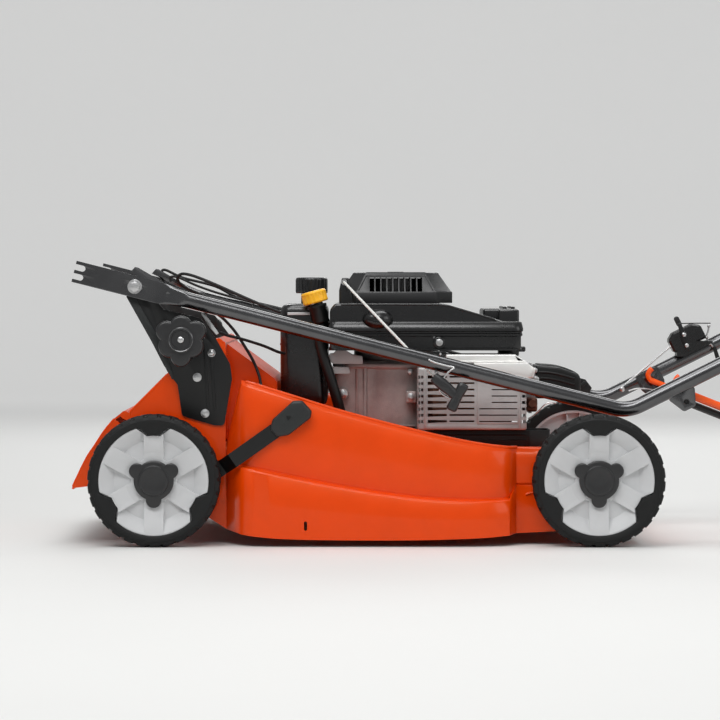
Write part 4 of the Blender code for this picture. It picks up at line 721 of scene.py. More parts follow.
def make_handle():
    right = [(x, -TUBE_Y, z) for x, z in (polar(PIVOT, LOWER, 0.085), BEND, HANDLE_TOP)]
    left = [(x, TUBE_Y, z) for x, z in (HANDLE_TOP, BEND, polar(PIVOT, LOWER, 0.085))]
    middle = round_rings(rounded_path(right + left, 0.06, 14), 0.012, 36, Vector((0, -1, 0)))
    tube = lofted(tube_profile(-1) + middle + tube_profile(1)[::-1])
    for side in SIDES.values():
        for offset in (-0.007, 0.007):
            first = beside(PIVOT, LOWER, -0.0835, offset)
            last = beside(PIVOT, LOWER, -0.11, offset)
            slot = capsule(first, last, 0.0045, 8)
            tube = cut(tube, prism(slot, "Y", side * 0.225, side * 0.24))
        tube = cut(tube, rod(PIVOT, 0.0053, "Y", side * 0.225, side * 0.24),
                   rod(beside(PIVOT, LOWER, 0.052, 0.001), 0.0034, "Y", side * 0.2365, side * 0.25, 20))
        corners = [(66, 10), (66, -16), (78, -40), (98, -40), (108, -16), (108, 10)]
        outline = rounded(along_line(BEND, UPPER, *corners), 5 * MM)
        plate = prism(outline, "Y", side * 0.221, side * 0.226)
        holes = [rod(beside(BEND, UPPER, a * MM, b * MM), 0.0043, "Y", side * 0.21, side * 0.23, 24)
                 for a, b in ((86, -6), (88, -28))]
        rib = placed((-349, 414), (-342, 422), (-337, 421), (-296, 397), (-301, 391))
        tube = joined(tube, cut(plate, *holes), prism(rib, "Y", side * 0.2290, side * 0.2306))
    piece(bevelled(tube, 0.5 * MM, 2, 50), "handle_frame", "graphite_paint", "handle", "handle_tube",
          smooth=50)
    half = TUBE_Y - 0.072
    profile = [(12.3 * MM, -half), (15 * MM, -half), (16.5 * MM, -half + 3 * MM)]
    for k in range(29):
        y = -half + 10 * MM + k * (2 * half - 20 * MM) / 28
        profile += [(16.5 * MM, y - 2 * MM), (15.9 * MM, y - 0.8 * MM), (15.9 * MM, y + 0.8 * MM),
                    (16.5 * MM, y + 2 * MM)]
    profile += [(16.5 * MM, half - 3 * MM), (15 * MM, half), (12.3 * MM, half)]
    piece(turned(profile, HANDLE_TOP, "Y", 40), "foam_sleeve", "foam_grip", "handle", "handle_grip",
          smooth=50)


def make_bails():
    for name, along, across, half, length, finish in (("brake_bail", 86, -6, 0.210, 0.222, "bail_coat"),
                                                      ("drive_bail", 88, -28, 0.197, 0.185, "black_paint")):
        pivot = beside(BEND, UPPER, along * MM, across * MM)
        far = polar(pivot, UPPER - math.radians(47.9), length)
        corners = [(pivot[0], -half, pivot[1]), (far[0], -half, far[1]), (far[0], half, far[1]),
                   (pivot[0], half, pivot[1])]
        hoop = swept(rounded_path(corners, 0.03, 12), 0.005, 20)
        for side in SIDES.values():
            hoop = joined(hoop, stacked([(3.9 * MM, side * (half - 3 * MM)), (3.9 * MM, side * 0.2223),
                                         (3.2 * MM, side * 0.2239)], pivot, "Y", 20))
        piece(hoop, name + "_hoop", finish, name, name, smooth=50)


def make_bracket(side, name):
    """The black plate with its ribs, slot, stud and bolts."""
    outer = side * 0.224
    outline = rounded(arc(PIVOT, 16.5 * MM, 60, 215, 12)
                      + [at(-293, 262), at(-278, 243), at(-271, 195), at(-223, 181), at(-207, 180),
                         at(-195, 252),
                         at(-198, 274.5), at(-219, 312), at(-243, 344), at(-300, 358)], 6 * MM)
    slot = capsule(PIVOT, polar(PIVOT, math.radians(-48), 0.02), 5.5 * MM)
    plate = cut(prism(outline, "Y", side * 0.2212, outer), prism(slot, "Y", side * 0.21, side * 0.23),
                prism(capsule(at(-241, 322), at(-236, 316), 2.6 * MM), "Y", side * 0.21, side * 0.23))
    edge = [at(-355.5, 382.5), at(-298, 270.5), at(-295, 270.5), at(-352.5, 382.5)]
    lip = prism(edge, "Y", side * 0.2152, side * 0.2235)
    plate = bevelled(joined(plate, lip), 0.5 * MM, 2)
    stud = stacked([(9 * MM, side * 0.217), (9 * MM, side * 0.2217), (4 * MM, side * 0.2217),
                    (4 * MM, side * 0.261)], STUD, "Y", 32)
    plate = together(plate, stud)
    piece(plate, "bracket_plate_" + name, "black_paint", "mower", "handle_bracket_" + name)
    ribs = []
    for x in (-231, -221):
        ribs.append(prism(capsule(at(x - 6, 306 - (x + 231) * 1.5), at(x, 205), 2.2 * MM, 6), "Y",
                          outer - side * 0.4 * MM, outer + side * 1.1 * MM))
    piece(bevelled(together(ribs[0], ribs[1]), 0.6 * MM, 2), "bracket_ribs_" + name, "black_paint", "mower")
    face = placed((-357, 379), (-344.5, 379), (-303, 308), (-285.5, 262), (-284, 246), (-290, 258),
                                  (-307, 290))
    face = prism(rounded(face, 2 * MM, 3), "Y", outer - side * 0.3 * MM, outer + side * 0.8 * MM)
    piece(bevelled(face, 0.4 * MM, 2), "bracket_fold_" + name, "slate_plastic", "mower")
    for k, (x, z, size) in enumerate(((-226, 291, 4.8), (-248, 254, 5.6), (-236, 199, 5.4))):
        washer = stacked([((size + 1.2) * MM, outer), ((size + 1.2) * MM, outer + side * 1.2 * MM)],
                         at(x, z), "Y", 28)
        if k == 0:
            head = stacked([(5.2 * MM, outer + side * 1.2 * MM), (4.9 * MM, outer + side * 3.2 * MM),
                            (3.4 * MM, outer + side * 4.8 * MM), (1.2 * MM, outer + side * 5.4 * MM)],
                            at(x, z), "Y", 28)
        else:
            head = hexagon(at(x, z), size * MM, "Y", outer + side * 1.2 * MM, outer + side * 4.6 * MM)
        piece(bevelled(together(washer, head), 0.4 * MM, 2), "bracket_bolt_%s_%d" % (name, k), "zinc_steel",
              "mower")


def make_pivot_bolt(side, name):
    profile = [(9.5, 216.2), (9.5, 220.9), (5, 220.9), (5, 224.3), (9.5, 224.3), (9.5, 229.7), (5, 229.7),
               (5, 235.3),
               (10.6, 235.3), (10.9, 235.8), (10.9, 236.7), (10.4, 237.1), (8.4, 237.1)]
    bolt = stacked([(r * MM, side * y * MM) for r, y in profile], PIVOT, "Y", 36)
    head = bevelled(hexagon(PIVOT, 8.4 * MM, "Y", side * 0.2371, side * 0.2419), 0.5 * MM, 2)
    piece(together(bolt, head), "pivot_screw_" + name, "zinc_steel", "handle_carrier", "pivot_bolt_" + name)


def star(scale):
    points = []
    for k in range(180):
        angle = 2 * math.pi * k / 180
        lobe = 0.5 + 0.5 * math.cos(6 * (angle - math.pi / 2))
        radius = 31.2 + 7.8 * lobe ** 0.45 + 2.4 * math.cos(3 * angle - math.pi / 2)
        points.append(polar((0, 0), angle, radius * scale * MM))
    return points


def make_knob(side, name):
    def ring(points, y):
        return [(STUD[0] + x, side * y * MM, STUD[1] + z) for x, z in points]
    lobed = [ring(star(scale), y) for scale, y in
             ((0.93, 253), (0.98, 253.8), (1.0, 256), (1.0, 268.5), (0.985, 271), (0.94, 272.6),
              (0.88, 273.2))]
    dished = [ring(circle((0, 0), radius * MM, 180), y) for radius, y in
              ((21, 272.4), (19, 272.3), (18, 273), (18, 276.2), (17.2, 277), (14.4, 277), (13.6, 275.6),
               (5, 275.2))]
    knob = lofted(lobed + dished)
    neck = cut(joined(stacked([(14 * MM, side * 0.236), (14 * MM, side * 0.238)], STUD, "Y", 40),
                      stacked([(11 * MM, side * 0.2375), (11 * MM, side * 0.2535)], STUD, "Y", 40)),
               stacked([(4.3 * MM, side * 0.23), (4.3 * MM, side * 0.256)], STUD, "Y", 24))
    knob = cut(knob, stacked([(4.3 * MM, side * 0.25), (4.3 * MM, side * 0.2612)], STUD, "Y", 24))
    piece(together(knob, neck), "knob_" + name, "charcoal_plastic", "star_knob_" + name,
          "star_knob_" + name,
          smooth=40)
    bezel = turned([(18.1 * MM, side * 0.2755), (18.6 * MM, side * 0.2769), (17.8 * MM, side * 0.2775),
                    (17.0 * MM, side * 0.2771), (17.0 * MM, side * 0.2758)], STUD, "Y", 56)
    centre = stacked([(4.6 * MM, side * 0.2751), (4.6 * MM, side * 0.2764), (3.2 * MM, side * 0.2774),
                      (1.0 * MM, side * 0.2777)], STUD, "Y", 28)
    piece(bezel, "knob_bezel_" + name, "graphite_paint", "star_knob_" + name, smooth=50)
    piece(centre, "knob_centre_" + name, "zinc_steel", "star_knob_" + name, smooth=50)


# Height lever

REAR_CRANK = (-0.258 + SHIFT, 0.083)
LEVER = math.radians(35.3)


def make_lever():
    profile = [(-7.5, 0.82), (-6.8, 0.93), (-5, 0.985), (0, 1.0), (5, 0.985), (6.8, 0.93), (7.5, 0.82)]
    corners = [(154, 7), (166, 16), (207, 21), (219, 13.5), (221.5, -8), (214, -15.5), (172, -17.5),
               (156, -10)]
    outline = rounded(along_line(REAR_CRANK, LEVER, *corners), 6 * MM, 6)
    middle = (sum(p[0] for p in outline) / len(outline), sum(p[1] for p in outline) / len(outline))
    rings = [[(middle[0] + (x - middle[0]) * s, (-268 + y) * MM, middle[1] + (z - middle[1]) * s)
              for x, z in outline] for y, s in profile]
    grip = lofted(rings)
    pocket = []
    for along in (0.147, 0.2143):
        ring = [(-0.2703, -11.8), (-0.2657, -11.8), (-0.2657, 11.8), (-0.2703, 11.8)]
        pocket.append([(x, y, z) for y, across in ring
                       for x, z in [beside(REAR_CRANK, LEVER, along, across * MM)]])
    hole = rounded(along_line(REAR_CRANK, LEVER, (184, 0.5), (193, 3), (186, 9.5)), 1.2 * MM)
    grip = cut(grip, lofted(pocket), prism(hole, "Y", -0.28, -0.2722))
    piece(grip, "lever_handle", "slate_plastic", "rear_crank", "lever_grip", smooth=40)
    dimples = [stacked([(1.7 * MM, -0.2752), (1.2 * MM, -0.2757)],
                       beside(REAR_CRANK, LEVER, (176 + 9 * k) * MM, 0),
                       "Y", 16) for k in (0, 3.2, 4.2)]
    piece(together(*dimples), "lever_dimples", "slate_plastic", "rear_crank")


# Engine

def tiers(levels, corner, steps=5):
    """Rounded rectangles (x, x, y, y, height, in datum millimetres) stacked into a solid."""
    rings = []
    for x0, x1, y0, y1, z in levels:
        flat = rounded([at(x, 0)[:1] + (y * MM,) for x, y in ((x0, y0), (x1, y0), (x1, y1), (x0, y1))],
                       corner * MM, steps)
        rings.append([(x, y, z * MM) for x, y in flat])
    return lofted(rings)


def bar(x, y, z, width=0.8, segments=2):
    """A block with softened edges, from datum millimetres."""
    return bevelled(block(ahead(*x), [v * MM for v in y], [v * MM for v in z]), width * MM, segments)


def bolt(x, z, face, size, tall, washer=2.0):
    """A hexagon head on its washer, on a face that looks right."""
    disc = stacked([((size + washer) * MM, -face * MM), ((size + washer) * MM, -(face + 1) * MM),
                    ((size + washer - 0.5) * MM, -(face + 1.3) * MM)], at(x, z), "Y", 28)
    head = hexagon(at(x, z), size * MM, "Y", -(face + 1.2) * MM, -(face + tall) * MM)
    return together(disc, bevelled(head, 0.5 * MM, 2))


def starter_ring(half, height):
    flat, side, short = 0.71 * half, 0.9 * half, 0.52 * half
    corners = [(flat, side), (-flat, side), (-half, short), (-half, -short),
               (-flat, -side), (flat, -side), (half, -short), (half, short)]
    return [(SHAFT_X + x * MM, y * MM, height * MM) for x, y in rounded(corners, 2.5, 2)]


def make_starter():
    """The faceted cover with nine slots in each flank, a grille on top and a rim round its foot."""
    cover = lofted([starter_ring(h, z) for h, z in
                    ((89.5, 366.3), (89.5, 382.6), (88.8, 384), (87, 385.4), (69, 411), (67.6, 413.6),
                     (64.8, 415))])
    hollow = lofted([starter_ring(h, z) for h, z in ((84.5, 356), (84.5, 382), (64.5, 412.3))])
    cover = cut(cover, hollow)
    cutters = []
    for k in range(9):
        x = SHAFT_X + (k - 4) * 9.4 * MM
        cutters.append(block((x - 3.7 * MM, x + 3.7 * MM), (-0.1, 0.1), (0.3842, 0.4064)))
    for k in range(6):
        angle = math.radians(60 * k + 30)
        flat = capsule(polar((SHAFT_X, 0), angle, 20 * MM), polar((SHAFT_X, 0), angle, 46 * MM), 3 * MM, 6)
        cutters.append(prism(flat, "Z", 0.409, 0.42))
    cover = bevelled(cut(cover, *cutters), 0.45 * MM, 2, 28)
    badge = turned([(9 * MM, 0.4148), (9 * MM, 0.4158), (13 * MM, 0.4158), (13 * MM, 0.4148)], (SHAFT_X, 0),
                   "Z", 40)
    piece(together(cover, badge), "starter_shell", "charcoal_plastic", "mower", "starter_cover", smooth=30)
    drum = turned([(40 * MM, 0.372), (57 * MM, 0.372), (58 * MM, 0.373), (58 * MM, 0.378), (55 * MM, 0.380),
                   (55 * MM, 0.404),
                   (53.5 * MM, 0.4055), (40 * MM, 0.4055)], (SHAFT_X, 0), "Z", 56)
    piece(drum, "starter_drum", "black_plastic", "mower", smooth=40)
    trims = []
    for side in SIDES.values():
        def on_flank(x, z):
            half = 87 - 18 * (z - 385.4) / 25.6
            return (SHAFT_X + x * MM, side * (0.9 * half + 0.2) * MM, z * MM)
        path = [on_flank(x, z) for x, z in ((-58.5, 386.4), (-46.5, 409.4), (46.5, 409.4), (58.5, 386.4))]
        trims.append(swept(rounded_path(path, 3 * MM, 4), 0.9 * MM, 8))
    piece(together(*trims), "starter_trim", "charcoal_plastic", "mower")


def make_blower():
    """The black shroud over the flywheel: its roof line, stepped ledge, foot lip, dome and raised front."""
    roof = placed((-47, 293), (250, 293), (250, 320), (240, 332), (206, 343.5), (137, 364), (124, 366),
                                  (-39, 366), (-47, 356))
    shell = bevelled(prism(roof, "Y", -0.140, 0.140), 4 * MM, 4, 26)
    ledge = tiers([(-48, 250.5, -141, 141, 337.5), (-49.5, 251.5, -142, 142, 336.5),
                   (-50, 253.5, -146.5, 146.5, 327.5),
                   (-50, 253.5, -146.5, 146.5, 323.5), (-50, 252, -143.2, 143.2, 321.8),
                   (-50, 252, -143.2, 143.2, 320),
                   (-50, 252.6, -144.6, 144.6, 318.6), (-50, 252.6, -144.6, 144.6, 316),
                   (-48.5, 250.5, -141.4, 141.4, 314.6)][::-1],
                  14)
    lip = tiers([(-49, 251.2, -142.4, 142.4, 293), (-49, 251.2, -142.4, 142.4, 296),
                 (-47, 250, -140, 140, 297.5)], 13)
    hump = bar((196, 252), (-20, 128), (318, 357), 4, 3)
    post = bevelled(prism(placed((-33, 360), (-8, 360), (-14, 388), (-17, 406), (-28.5, 406), (-33, 386)),
                          "Y", -0.075, -0.061), 2.5 * MM, 3)
    shell = joined(shell, ledge, lip, hump, post)
    inside = [at(-44.5, 288), at(247.5, 288), at(247.5, 320), at(203, 340), at(135, 361), at(126, 363.5),
              at(-38, 363.5), at(-44.5, 355)]
    shell = cut(shell, prism(inside, "Y", -0.1375, 0.1375), rod((SHAFT_X, 0), 0.0605, "Z", 0.34, 0.42, 40))
    piece(shell, "blower_shell", "black_plastic", "mower", "blower_housing", smooth=34)

    trims = []
    for side in SIDES.values():
        path = [spot(x, side * 139.4, z) for x, z in
                ((-30, 364.4), (60, 364.4), (122, 364.2), (137, 362.4), (206, 342), (213, 337.5))]
        trims.append(swept(rounded_path(path, 12 * MM, 5), 1.7 * MM, 10))
    for x in (231, 244):
        trims.append(bar((x - 3, x + 3), (-12, 120), (355, 360.5), 1.4, 2))
    trims.append(bar((219, 251.5), (-55, -20.5), (282, 356), 3, 3))
    trims.append(bar((243, 262), (-50, -24), (289, 297.5), 2.5, 3))
    piece(together(*trims), "blower_trim", "black_plastic", "mower", smooth=40)

    dome = []
    for k in range(9):
        t = math.pi / 2 * k / 8
        ring = circle((0, 0), 1, 40)
        dome.append([(at(27.5, 0)[0] + x * 24 * MM * max(0.02, math.cos(t)), -(138 + 17 * math.sin(t)) * MM,
                      (341 + z * 16.5 * max(0.02, math.cos(t))) * MM) for x, z in ring])
    dome = lofted(dome)
    collar = stacked([(9.5 * MM, -0.139), (9.5 * MM, -0.1432), (8.6 * MM, -0.1444), (7.4 * MM, -0.1446)],
                     at(123, 305.5), "Y", 32)
    hood = [(at(123, 0)[0] + 10.5 * MM * math.cos(math.radians(a)), -0.1412,
             0.3065 + 11.5 * MM * math.sin(math.radians(a))) for a in range(-10, 191, 10)]
    clip = bar((113, 134), (-145, -138), (286.5, 292.5), 1.2, 2)
    piece(together(dome, collar, clip), "blower_bosses", "black_plastic", "mower", smooth=45)
    # Painted highlight: a bright bare-alloy arc over the bolt's upper left, where the hood catches the light.
    piece(swept(hood[8:17], 1.3 * MM, 10), "bolt_hood_painted_highlight", "bare_alloy", "mower", smooth=45)
    piece(bolt(123, 305.5, 144.2, 4.6, 5, washer=0.8), "blower_bolt", "zinc_steel", "mower")
    piece(turned([(2.6 * MM, -0.0765), (4.6 * MM, -0.0765), (4.6 * MM, -0.0750), (2.6 * MM, -0.0750)],
                 at(-25, 399), "Y", 24), "rope_eyelet", "zinc_steel", "mower")


def make_crankcase():
    case = bevelled(block(ahead(-41, 116.5), (-0.080, 0.080), (0.153, 0.276)), 9 * MM, 4)
    barrel = stacked([(86.5 * MM, 0.153), (86.5 * MM, 0.262), (88.5 * MM, 0.2638), (89.4 * MM, 0.2652),
                      (89.4 * MM, 0.2696), (88.4 * MM, 0.271), (76 * MM, 0.2712), (71 * MM, 0.273),
                      (66 * MM, 0.2835),
                      (66 * MM, 0.290)], (SHAFT_X, 0), "Z", 72)
    flange = stacked([(88 * MM, 0.1453), (88 * MM, 0.1535), (87 * MM, 0.154)], (SHAFT_X, 0), "Z", 72)
    collar = tiers([(-42, 118, -82, 82, 263), (-43, 119, -83, 83, 264.5), (-43, 119, -83, 83, 269.5),
                    (-42, 118, -82, 82, 271)], 12)
    case = joined(case, barrel, flange, collar)
    for side in SIDES.values():
        for x, r, y in ((-5, 2.6, 79.6), (8, 3.6, 79.6), (104, 3.4, 79.6)):
            case = joined(case, rod((at(x, 0)[0], side * y * MM), r * MM, "Z", 0.156, 0.264, 20))
        for x in (-26.4, 96.5):
            case = joined(case,
                          stacked([(10 * MM, side * 0.074), (9 * MM, side * 0.0905),
                                   (8.2 * MM, side * 0.092)],
                                        at(x, 224), "Y", 28))
    case = cut(case, rod((SHAFT_X, 0), 12.8 * MM, "Z", 0.1, 0.4, 40))
    piece(case, "crankcase_casting", "cast_alloy", "mower", "engine_crankcase", smooth=40)
    lug = placed((-50, 277), (-48, 287), (-41, 288), (-37, 293.5), (-24, 293), (-12, 286), (4, 283),
                                 (4.5, 271), (-42, 271.5))
    foot = placed((-49, 257), (-43, 267), (-18, 266.5), (-15.5, 258.5), (-17, 256), (-49, 256))
    lugs = together(bevelled(prism(rounded(lug, 1.5 * MM, 3), "Y", -0.106, -0.078), 1.2 * MM, 3),
                    bevelled(prism(rounded(foot, 1.5 * MM, 3), "Y", -0.108, -0.078), 1.2 * MM, 3))
    piece(lugs, "crankcase_lugs", "silver_paint", "mower", smooth=40)
    clamp = together(bar((-41, -25), (-104, -82), (268.5, 272.5), 0.6),
                     bar((-28.5, -25), (-105, -82), (262, 277), 0.6))
    piece(clamp, "crankcase_clamp", "black_paint", "mower")
    piece(together(bolt(-26.4, 224, 92, 5.2, 6, washer=1.4), bolt(96.5, 224, 92, 5.2, 5),
                   bolt(79, 259, 88, 3.6, 6, washer=0.8)), "crankcase_bolts", "zinc_steel", "mower")
    seams = []
    for z in (160, 167, 173):
        seams.append(bar((62, 86), (-99, -80), (z, z + 2.2), 0.6))
    mount = bar((72, 88), (-104, -78), (210, 229), 2.4, 3)
    piece(together(mount, *seams), "exhaust_flange", "cast_alloy", "mower", smooth=40)
    piece(bolt(80, 219.5, 104, 4.6, 6, washer=1.2), "exhaust_bolt", "zinc_steel", "mower")


def make_cylinder_covers():
    """The bright cast cover over the cylinder, the ribbed valve cover and their fasteners."""
    outline = rounded(placed((133, 273), (258, 273), (258, 249.2), (268, 251), (272.5, 264.5),
                                             (240.5, 287), (133, 287)), 2 * MM)
    cover = bevelled(prism(outline, "Y", -0.150, -0.060), 2.6 * MM, 3, 40)
    rib = placed((140, 277.5), (256, 277.5), (268, 265), (266, 262), (255, 274.5), (140, 274.5))
    lap = placed((176, 250), (253, 250), (262, 252.5), (267, 263), (259, 274.5), (176, 274.5))
    lap = cut(prism(lap, "Y", -0.1735, -0.152),
              prism(placed((170, 240), (257.2, 240), (257.2, 267.4), (170, 267.4)),
                                                     "Y", -0.1712, -0.14))
    cover = together(cover, bevelled(prism(rib, "Y", -0.1525, -0.146), 1 * MM, 3),
                     bevelled(lap, 0.8 * MM, 2))
    piece(cover, "cylinder_cover", "bright_alloy", "mower", "cylinder_shroud", smooth=40)
    outline = rounded(placed((277.3, 215), (340, 215), (349, 224), (349, 247), (343.5, 254.5),
                                             (315, 264.5), (277.3, 268)), 4 * MM)
    cover = bevelled(prism(outline, "Y", -0.050, 0.050), 4 * MM, 4, 45)
    ribs = []
    for side in SIDES.values():
        for k in range(4):
            z = 221 + 9.6 * k
            path = [spot(x, side * 49.7, z + dz) for x, dz in
                    ((283, 7), (300, 6), (318, 2.5), (339, -3.5))]
            ribs.append(swept(smooth_path(path, 4), 2.1 * MM, 10))
    for y in (-30, -10, 10, 30):
        path = [spot(x, y, z) for x, z in ((282, 267.4), (315, 264.4), (340, 255.5), (348.2, 246),
                                           (348.6, 226))]
        ribs.append(swept(smooth_path(path, 4), 2 * MM, 10))
    piece(together(cover, *ribs), "valve_cover_shell", "black_paint", "mower", "valve_cover", smooth=45)
    studs = together(bolt(276.5, 259.7, 52.5, 3.6, 6, washer=0.6), bolt(277.5, 245, 53, 5.0, 7, washer=0.8))
    arm = swept([spot(x, -57, z) for x, z in ((272, 252), (277.5, 245))], 2.6 * MM, 12)
    piece(together(studs, arm), "valve_cover_bolts", "zinc_steel", "mower")
    flare = together(bar((261, 278), (-100, -66), (196, 218), 4, 4), stacked(
        [(6 * MM, -0.104), (8 * MM, -0.101), (8 * MM, -0.098)], at(270, 209), "Y", 28))
    piece(flare, "heat_deflector", "heated_steel", "mower", smooth=50)
    wire = [spot(x, -118, z) for x, z in ((306, 210.5), (297, 211.5), (288, 208), (279, 199), (270, 191),
                                                          (262, 186))]
    piece(swept(smooth_path(wire, 5), 1.1 * MM, 10), "governor_wire", "zinc_steel", "mower")


def make_muffler_guard():
    """The sheet-metal guard: eight rows of slots, a raised smooth panel and notched flanges at both ends."""
    box = bevelled(block(ahead(89, 257), (-0.170, -0.100), (0.171, 0.267)), 3 * MM, 4)
    box = cut(box, block(ahead(91, 255), (-0.1683, -0.09), (0.173, 0.265)))
    panel = bar((180.5, 245), (-171.2, -168.4), (180, 262.5), 0.7, 2)
    strip_low = bar((104, 247), (-171, -168.4), (172.6, 179), 0.8, 2)
    bend = bar((98.4, 102.2), (-171.4, -168.4), (174, 265), 0.9, 2)
    edge = bar((244.6, 247.4), (-171.6, -168.4), (174, 265), 0.7, 2)
    box = joined(box, panel, strip_low, bend, edge)
    cutters = []
    for k in range(8):
        z = 184.2 + 9.82 * k
        left = [at(104.3, z - 2.7), at(134, z - 1.5), at(134, z + 1.9), at(104.3, z + 2.5)]
        cutters.append(prism(left, "Y", -0.18, -0.16))
        cutters.append(block(ahead(138, 176.4), (-0.18, -0.16), ((z - 1.2) * MM, (z + 1.6) * MM)))
        start = 184 if k < 3 else 203
        if k < 6:
            cutters.append(block(ahead(start, 242.5), (-0.18, -0.16), ((z - 0.9) * MM, (z + 0.9) * MM)))
        cutters.append(block(ahead(87, 92.6), (-0.18, -0.16), ((z - 3.2) * MM, (z + 2) * MM)))
        cutters.append(block(ahead(94, 97.6), (-0.18, -0.16), ((z - 2.6) * MM, (z + 2) * MM)))
        cutters.append(block(ahead(249.6, 259), (-0.18, -0.16), ((z - 2.6) * MM, (z + 2) * MM)))
    piece(cut(box, *cutters), "guard_sheet", "silver_paint", "mower", "muffler_guard", smooth=30)


def knurled(centre, teeth, levels):
    """A fluted cap from (radius, height, whether fluted) levels, in millimetres."""
    rings = []
    for radius, height, fluted in levels:
        points = []
        for k in range(teeth * 6):
            angle = 2 * math.pi * k / (teeth * 6)
            dip = 0.9 * (0.5 + 0.5 * math.cos(teeth * angle)) if fluted else 0
            points.append(lift(polar(centre, angle, (radius - dip) * MM), "Z", height * MM))
        rings.append(points)
    return lofted(rings)


NECK = (-78 * MM + SHIFT, 0.045)


def make_tanks():
    tank = tiers([(-117, -58.3, -92, 92, 206.5), (-121, -54, -97, 97, 208), (-124, -51.5, -99.4, 99.4, 213),
                  (-125, -50.6, -100, 100, 222), (-125, -50.6, -100, 100, 352),
                  (-123.6, -51.6, -99, 99, 358.5),
                  (-120, -54.6, -96, 96, 363), (-115, -59, -91, 91, 365)], 16, 8)
    seam = tiers([(-125.8, -50.4, -100.8, 100.8, 300.4), (-125.8, -50.4, -100.8, 100.8, 303)], 17, 8)
    neck = rod(NECK, 17 * MM, "Z", 0.361, 0.381, 40)
    tank = cut(joined(tank, seam, neck), rod(NECK, 14 * MM, "Z", 0.34, 0.4, 40))
    piece(tank, "tank_shell", "black_plastic", "mower", "fuel_tank", smooth=40)
    cap = knurled(NECK, 24, [(24.4, 381.3, 0), (25.6, 382.4, 0), (26, 385, 1), (26, 402, 1),
                             (25.6, 404.4, 0),
                                                 (24, 406.6, 0), (19, 407.3, 0), (18, 406.6, 0),
                                                 (5, 406.4, 0)])
    plug = rod(NECK, 13.5 * MM, "Z", 0.3733, 0.382, 32)
    piece(together(cap, plug), "fuel_cap_shell", "black_plastic", "fuel_cap", "fuel_cap", smooth=50)
    # Painted highlight: a light grey strip along the tank's top edge stands in for the gleam on that edge.
    piece(bar((-113.5, -78), (-101.4, -99.4), (347.6, 352), 0.7), "tank_painted_highlight", "grey_plastic", "mower")

    tilt = math.radians(15)
    top = Vector((-68.5 * MM + SHIFT, -0.112, 0.366))
    lean = Vector((-math.sin(tilt), 0, math.cos(tilt)))
    across = Vector((math.cos(tilt), 0, math.sin(tilt)))
    route = [spot(x, y, z) for x, y, z in
             ((-29.5, -86.6, 186), (-29.5, -92, 186), (-29.5, -98, 186), (-35.5, -112, 215),
              (-61.5, -112, 300))]
    pipe = swept(smooth_path(route + [tuple(top - lean * 0.03), tuple(top)], 6), 8.5 * MM, 24)

    def ring(radius, along, teeth=0):
        return [top + lean * along * MM + (radius - (0.5 if teeth else 0) * (1 + math.cos(18 * a))) * MM
                * (math.cos(a) * across + math.sin(a) * Vector((0, 1, 0)))
                for a in (2 * math.pi * k / 108 for k in range(108))]
    collar = lofted([ring(r, z) for r, z in ((8.5, -34), (12.5, -31), (13.5, -29), (13.5, -8), (15.5, -6),
                                             (15.5, -3),
                                             (10.5, -2.4), (10.5, 0))])
    piece(together(pipe, collar), "oil_pipe", "black_paint", "mower", "oil_fill_tube", smooth=50)
    cap = lofted([ring(17.5, 0.45), ring(19.4, 1.4), ring(20, 3), ring(20, 4.6, 1), ring(20, 15.4, 1),
                  ring(20, 16.6),
                  ring(19.2, 18.4), ring(17.2, 19.6), ring(12, 20), ring(4, 20)])
    piece(cap, "oil_cap_shell", "yellow_plastic", "oil_cap", "oil_cap", smooth=50)


# Handle fittings

def fitting(points, low, high, width=0.6, corner=2.0):
    """A plate from side-view points in datum millimetres, between two depths, with soft corners."""
    return bevelled(prism(rounded([at(x, z) for x, z in points], corner * MM, 4), "Y", low * MM, high * MM),
                    width * MM, 2, 40)


def wire(points, radius, depth=None, steps=6):
    """A thin round wire through datum millimetres, (x, z) at one depth or (x, y, z)."""
    made = [(p[0] * MM + SHIFT, (depth if depth is not None else p[1]) * MM, p[-1] * MM) for p in points]
    return swept(smooth_path(made, steps), radius * MM, 12)


def make_cable_anchor():
    """The bracket on the left tube, its folded lip, its bolt and the wires that leave it."""
    corners = [(-74, 15), (-60, 26), (-36, 26), (-22, 15), (-26, -6), (-66, -6)]
    outline = rounded(along_line(BEND, LOWER, *corners), 2 * MM, 4)
    plate = bevelled(prism(outline, "Y", 0.2202, 0.2242), 0.6 * MM, 2)
    lip = along_line(BEND, LOWER, (-72, 17), (-59, 27.5), (-58, 25.5), (-70, 15))
    lip = bevelled(prism(lip, "Y", 0.2105, 0.2235), 0.5 * MM, 2)
    clips = [bevelled(prism(capsule(beside(BEND, LOWER, (a - 30) * MM, 8 * MM),
                                    beside(BEND, LOWER, (a - 22) * MM, 20 * MM),
                                    3 * MM, 5), "Y", 0.2165, 0.2205), 0.5 * MM, 2) for a in (-33, -14)]
    piece(together(plate, lip, *clips), "anchor_plate", "black_paint", "handle", "cable_anchor", smooth=40)
    screw = stacked([(4.6 * MM, 0.2202), (4.6 * MM, 0.2190), (3.6 * MM, 0.2176), (1.6 * MM, 0.2170)],
                    at(439, 220.5), "Y", 24)
    small = stacked([(2.6 * MM, 0.2202), (2.6 * MM, 0.2186)], at(405, 205), "Y", 18)
    piece(together(screw, small), "anchor_screws", "zinc_steel", "handle", smooth=40)
    rods = together(wire([(444, 229), (470, 250), (505, 280), (533, 303)], 1.6, 218.5),
                    wire([(450, 217.5), (461, 221), (472, 221.5), (486, 220.5), (500, 218)], 1.2, 219))
    piece(rods, "control_wires", "zinc_steel", "handle")


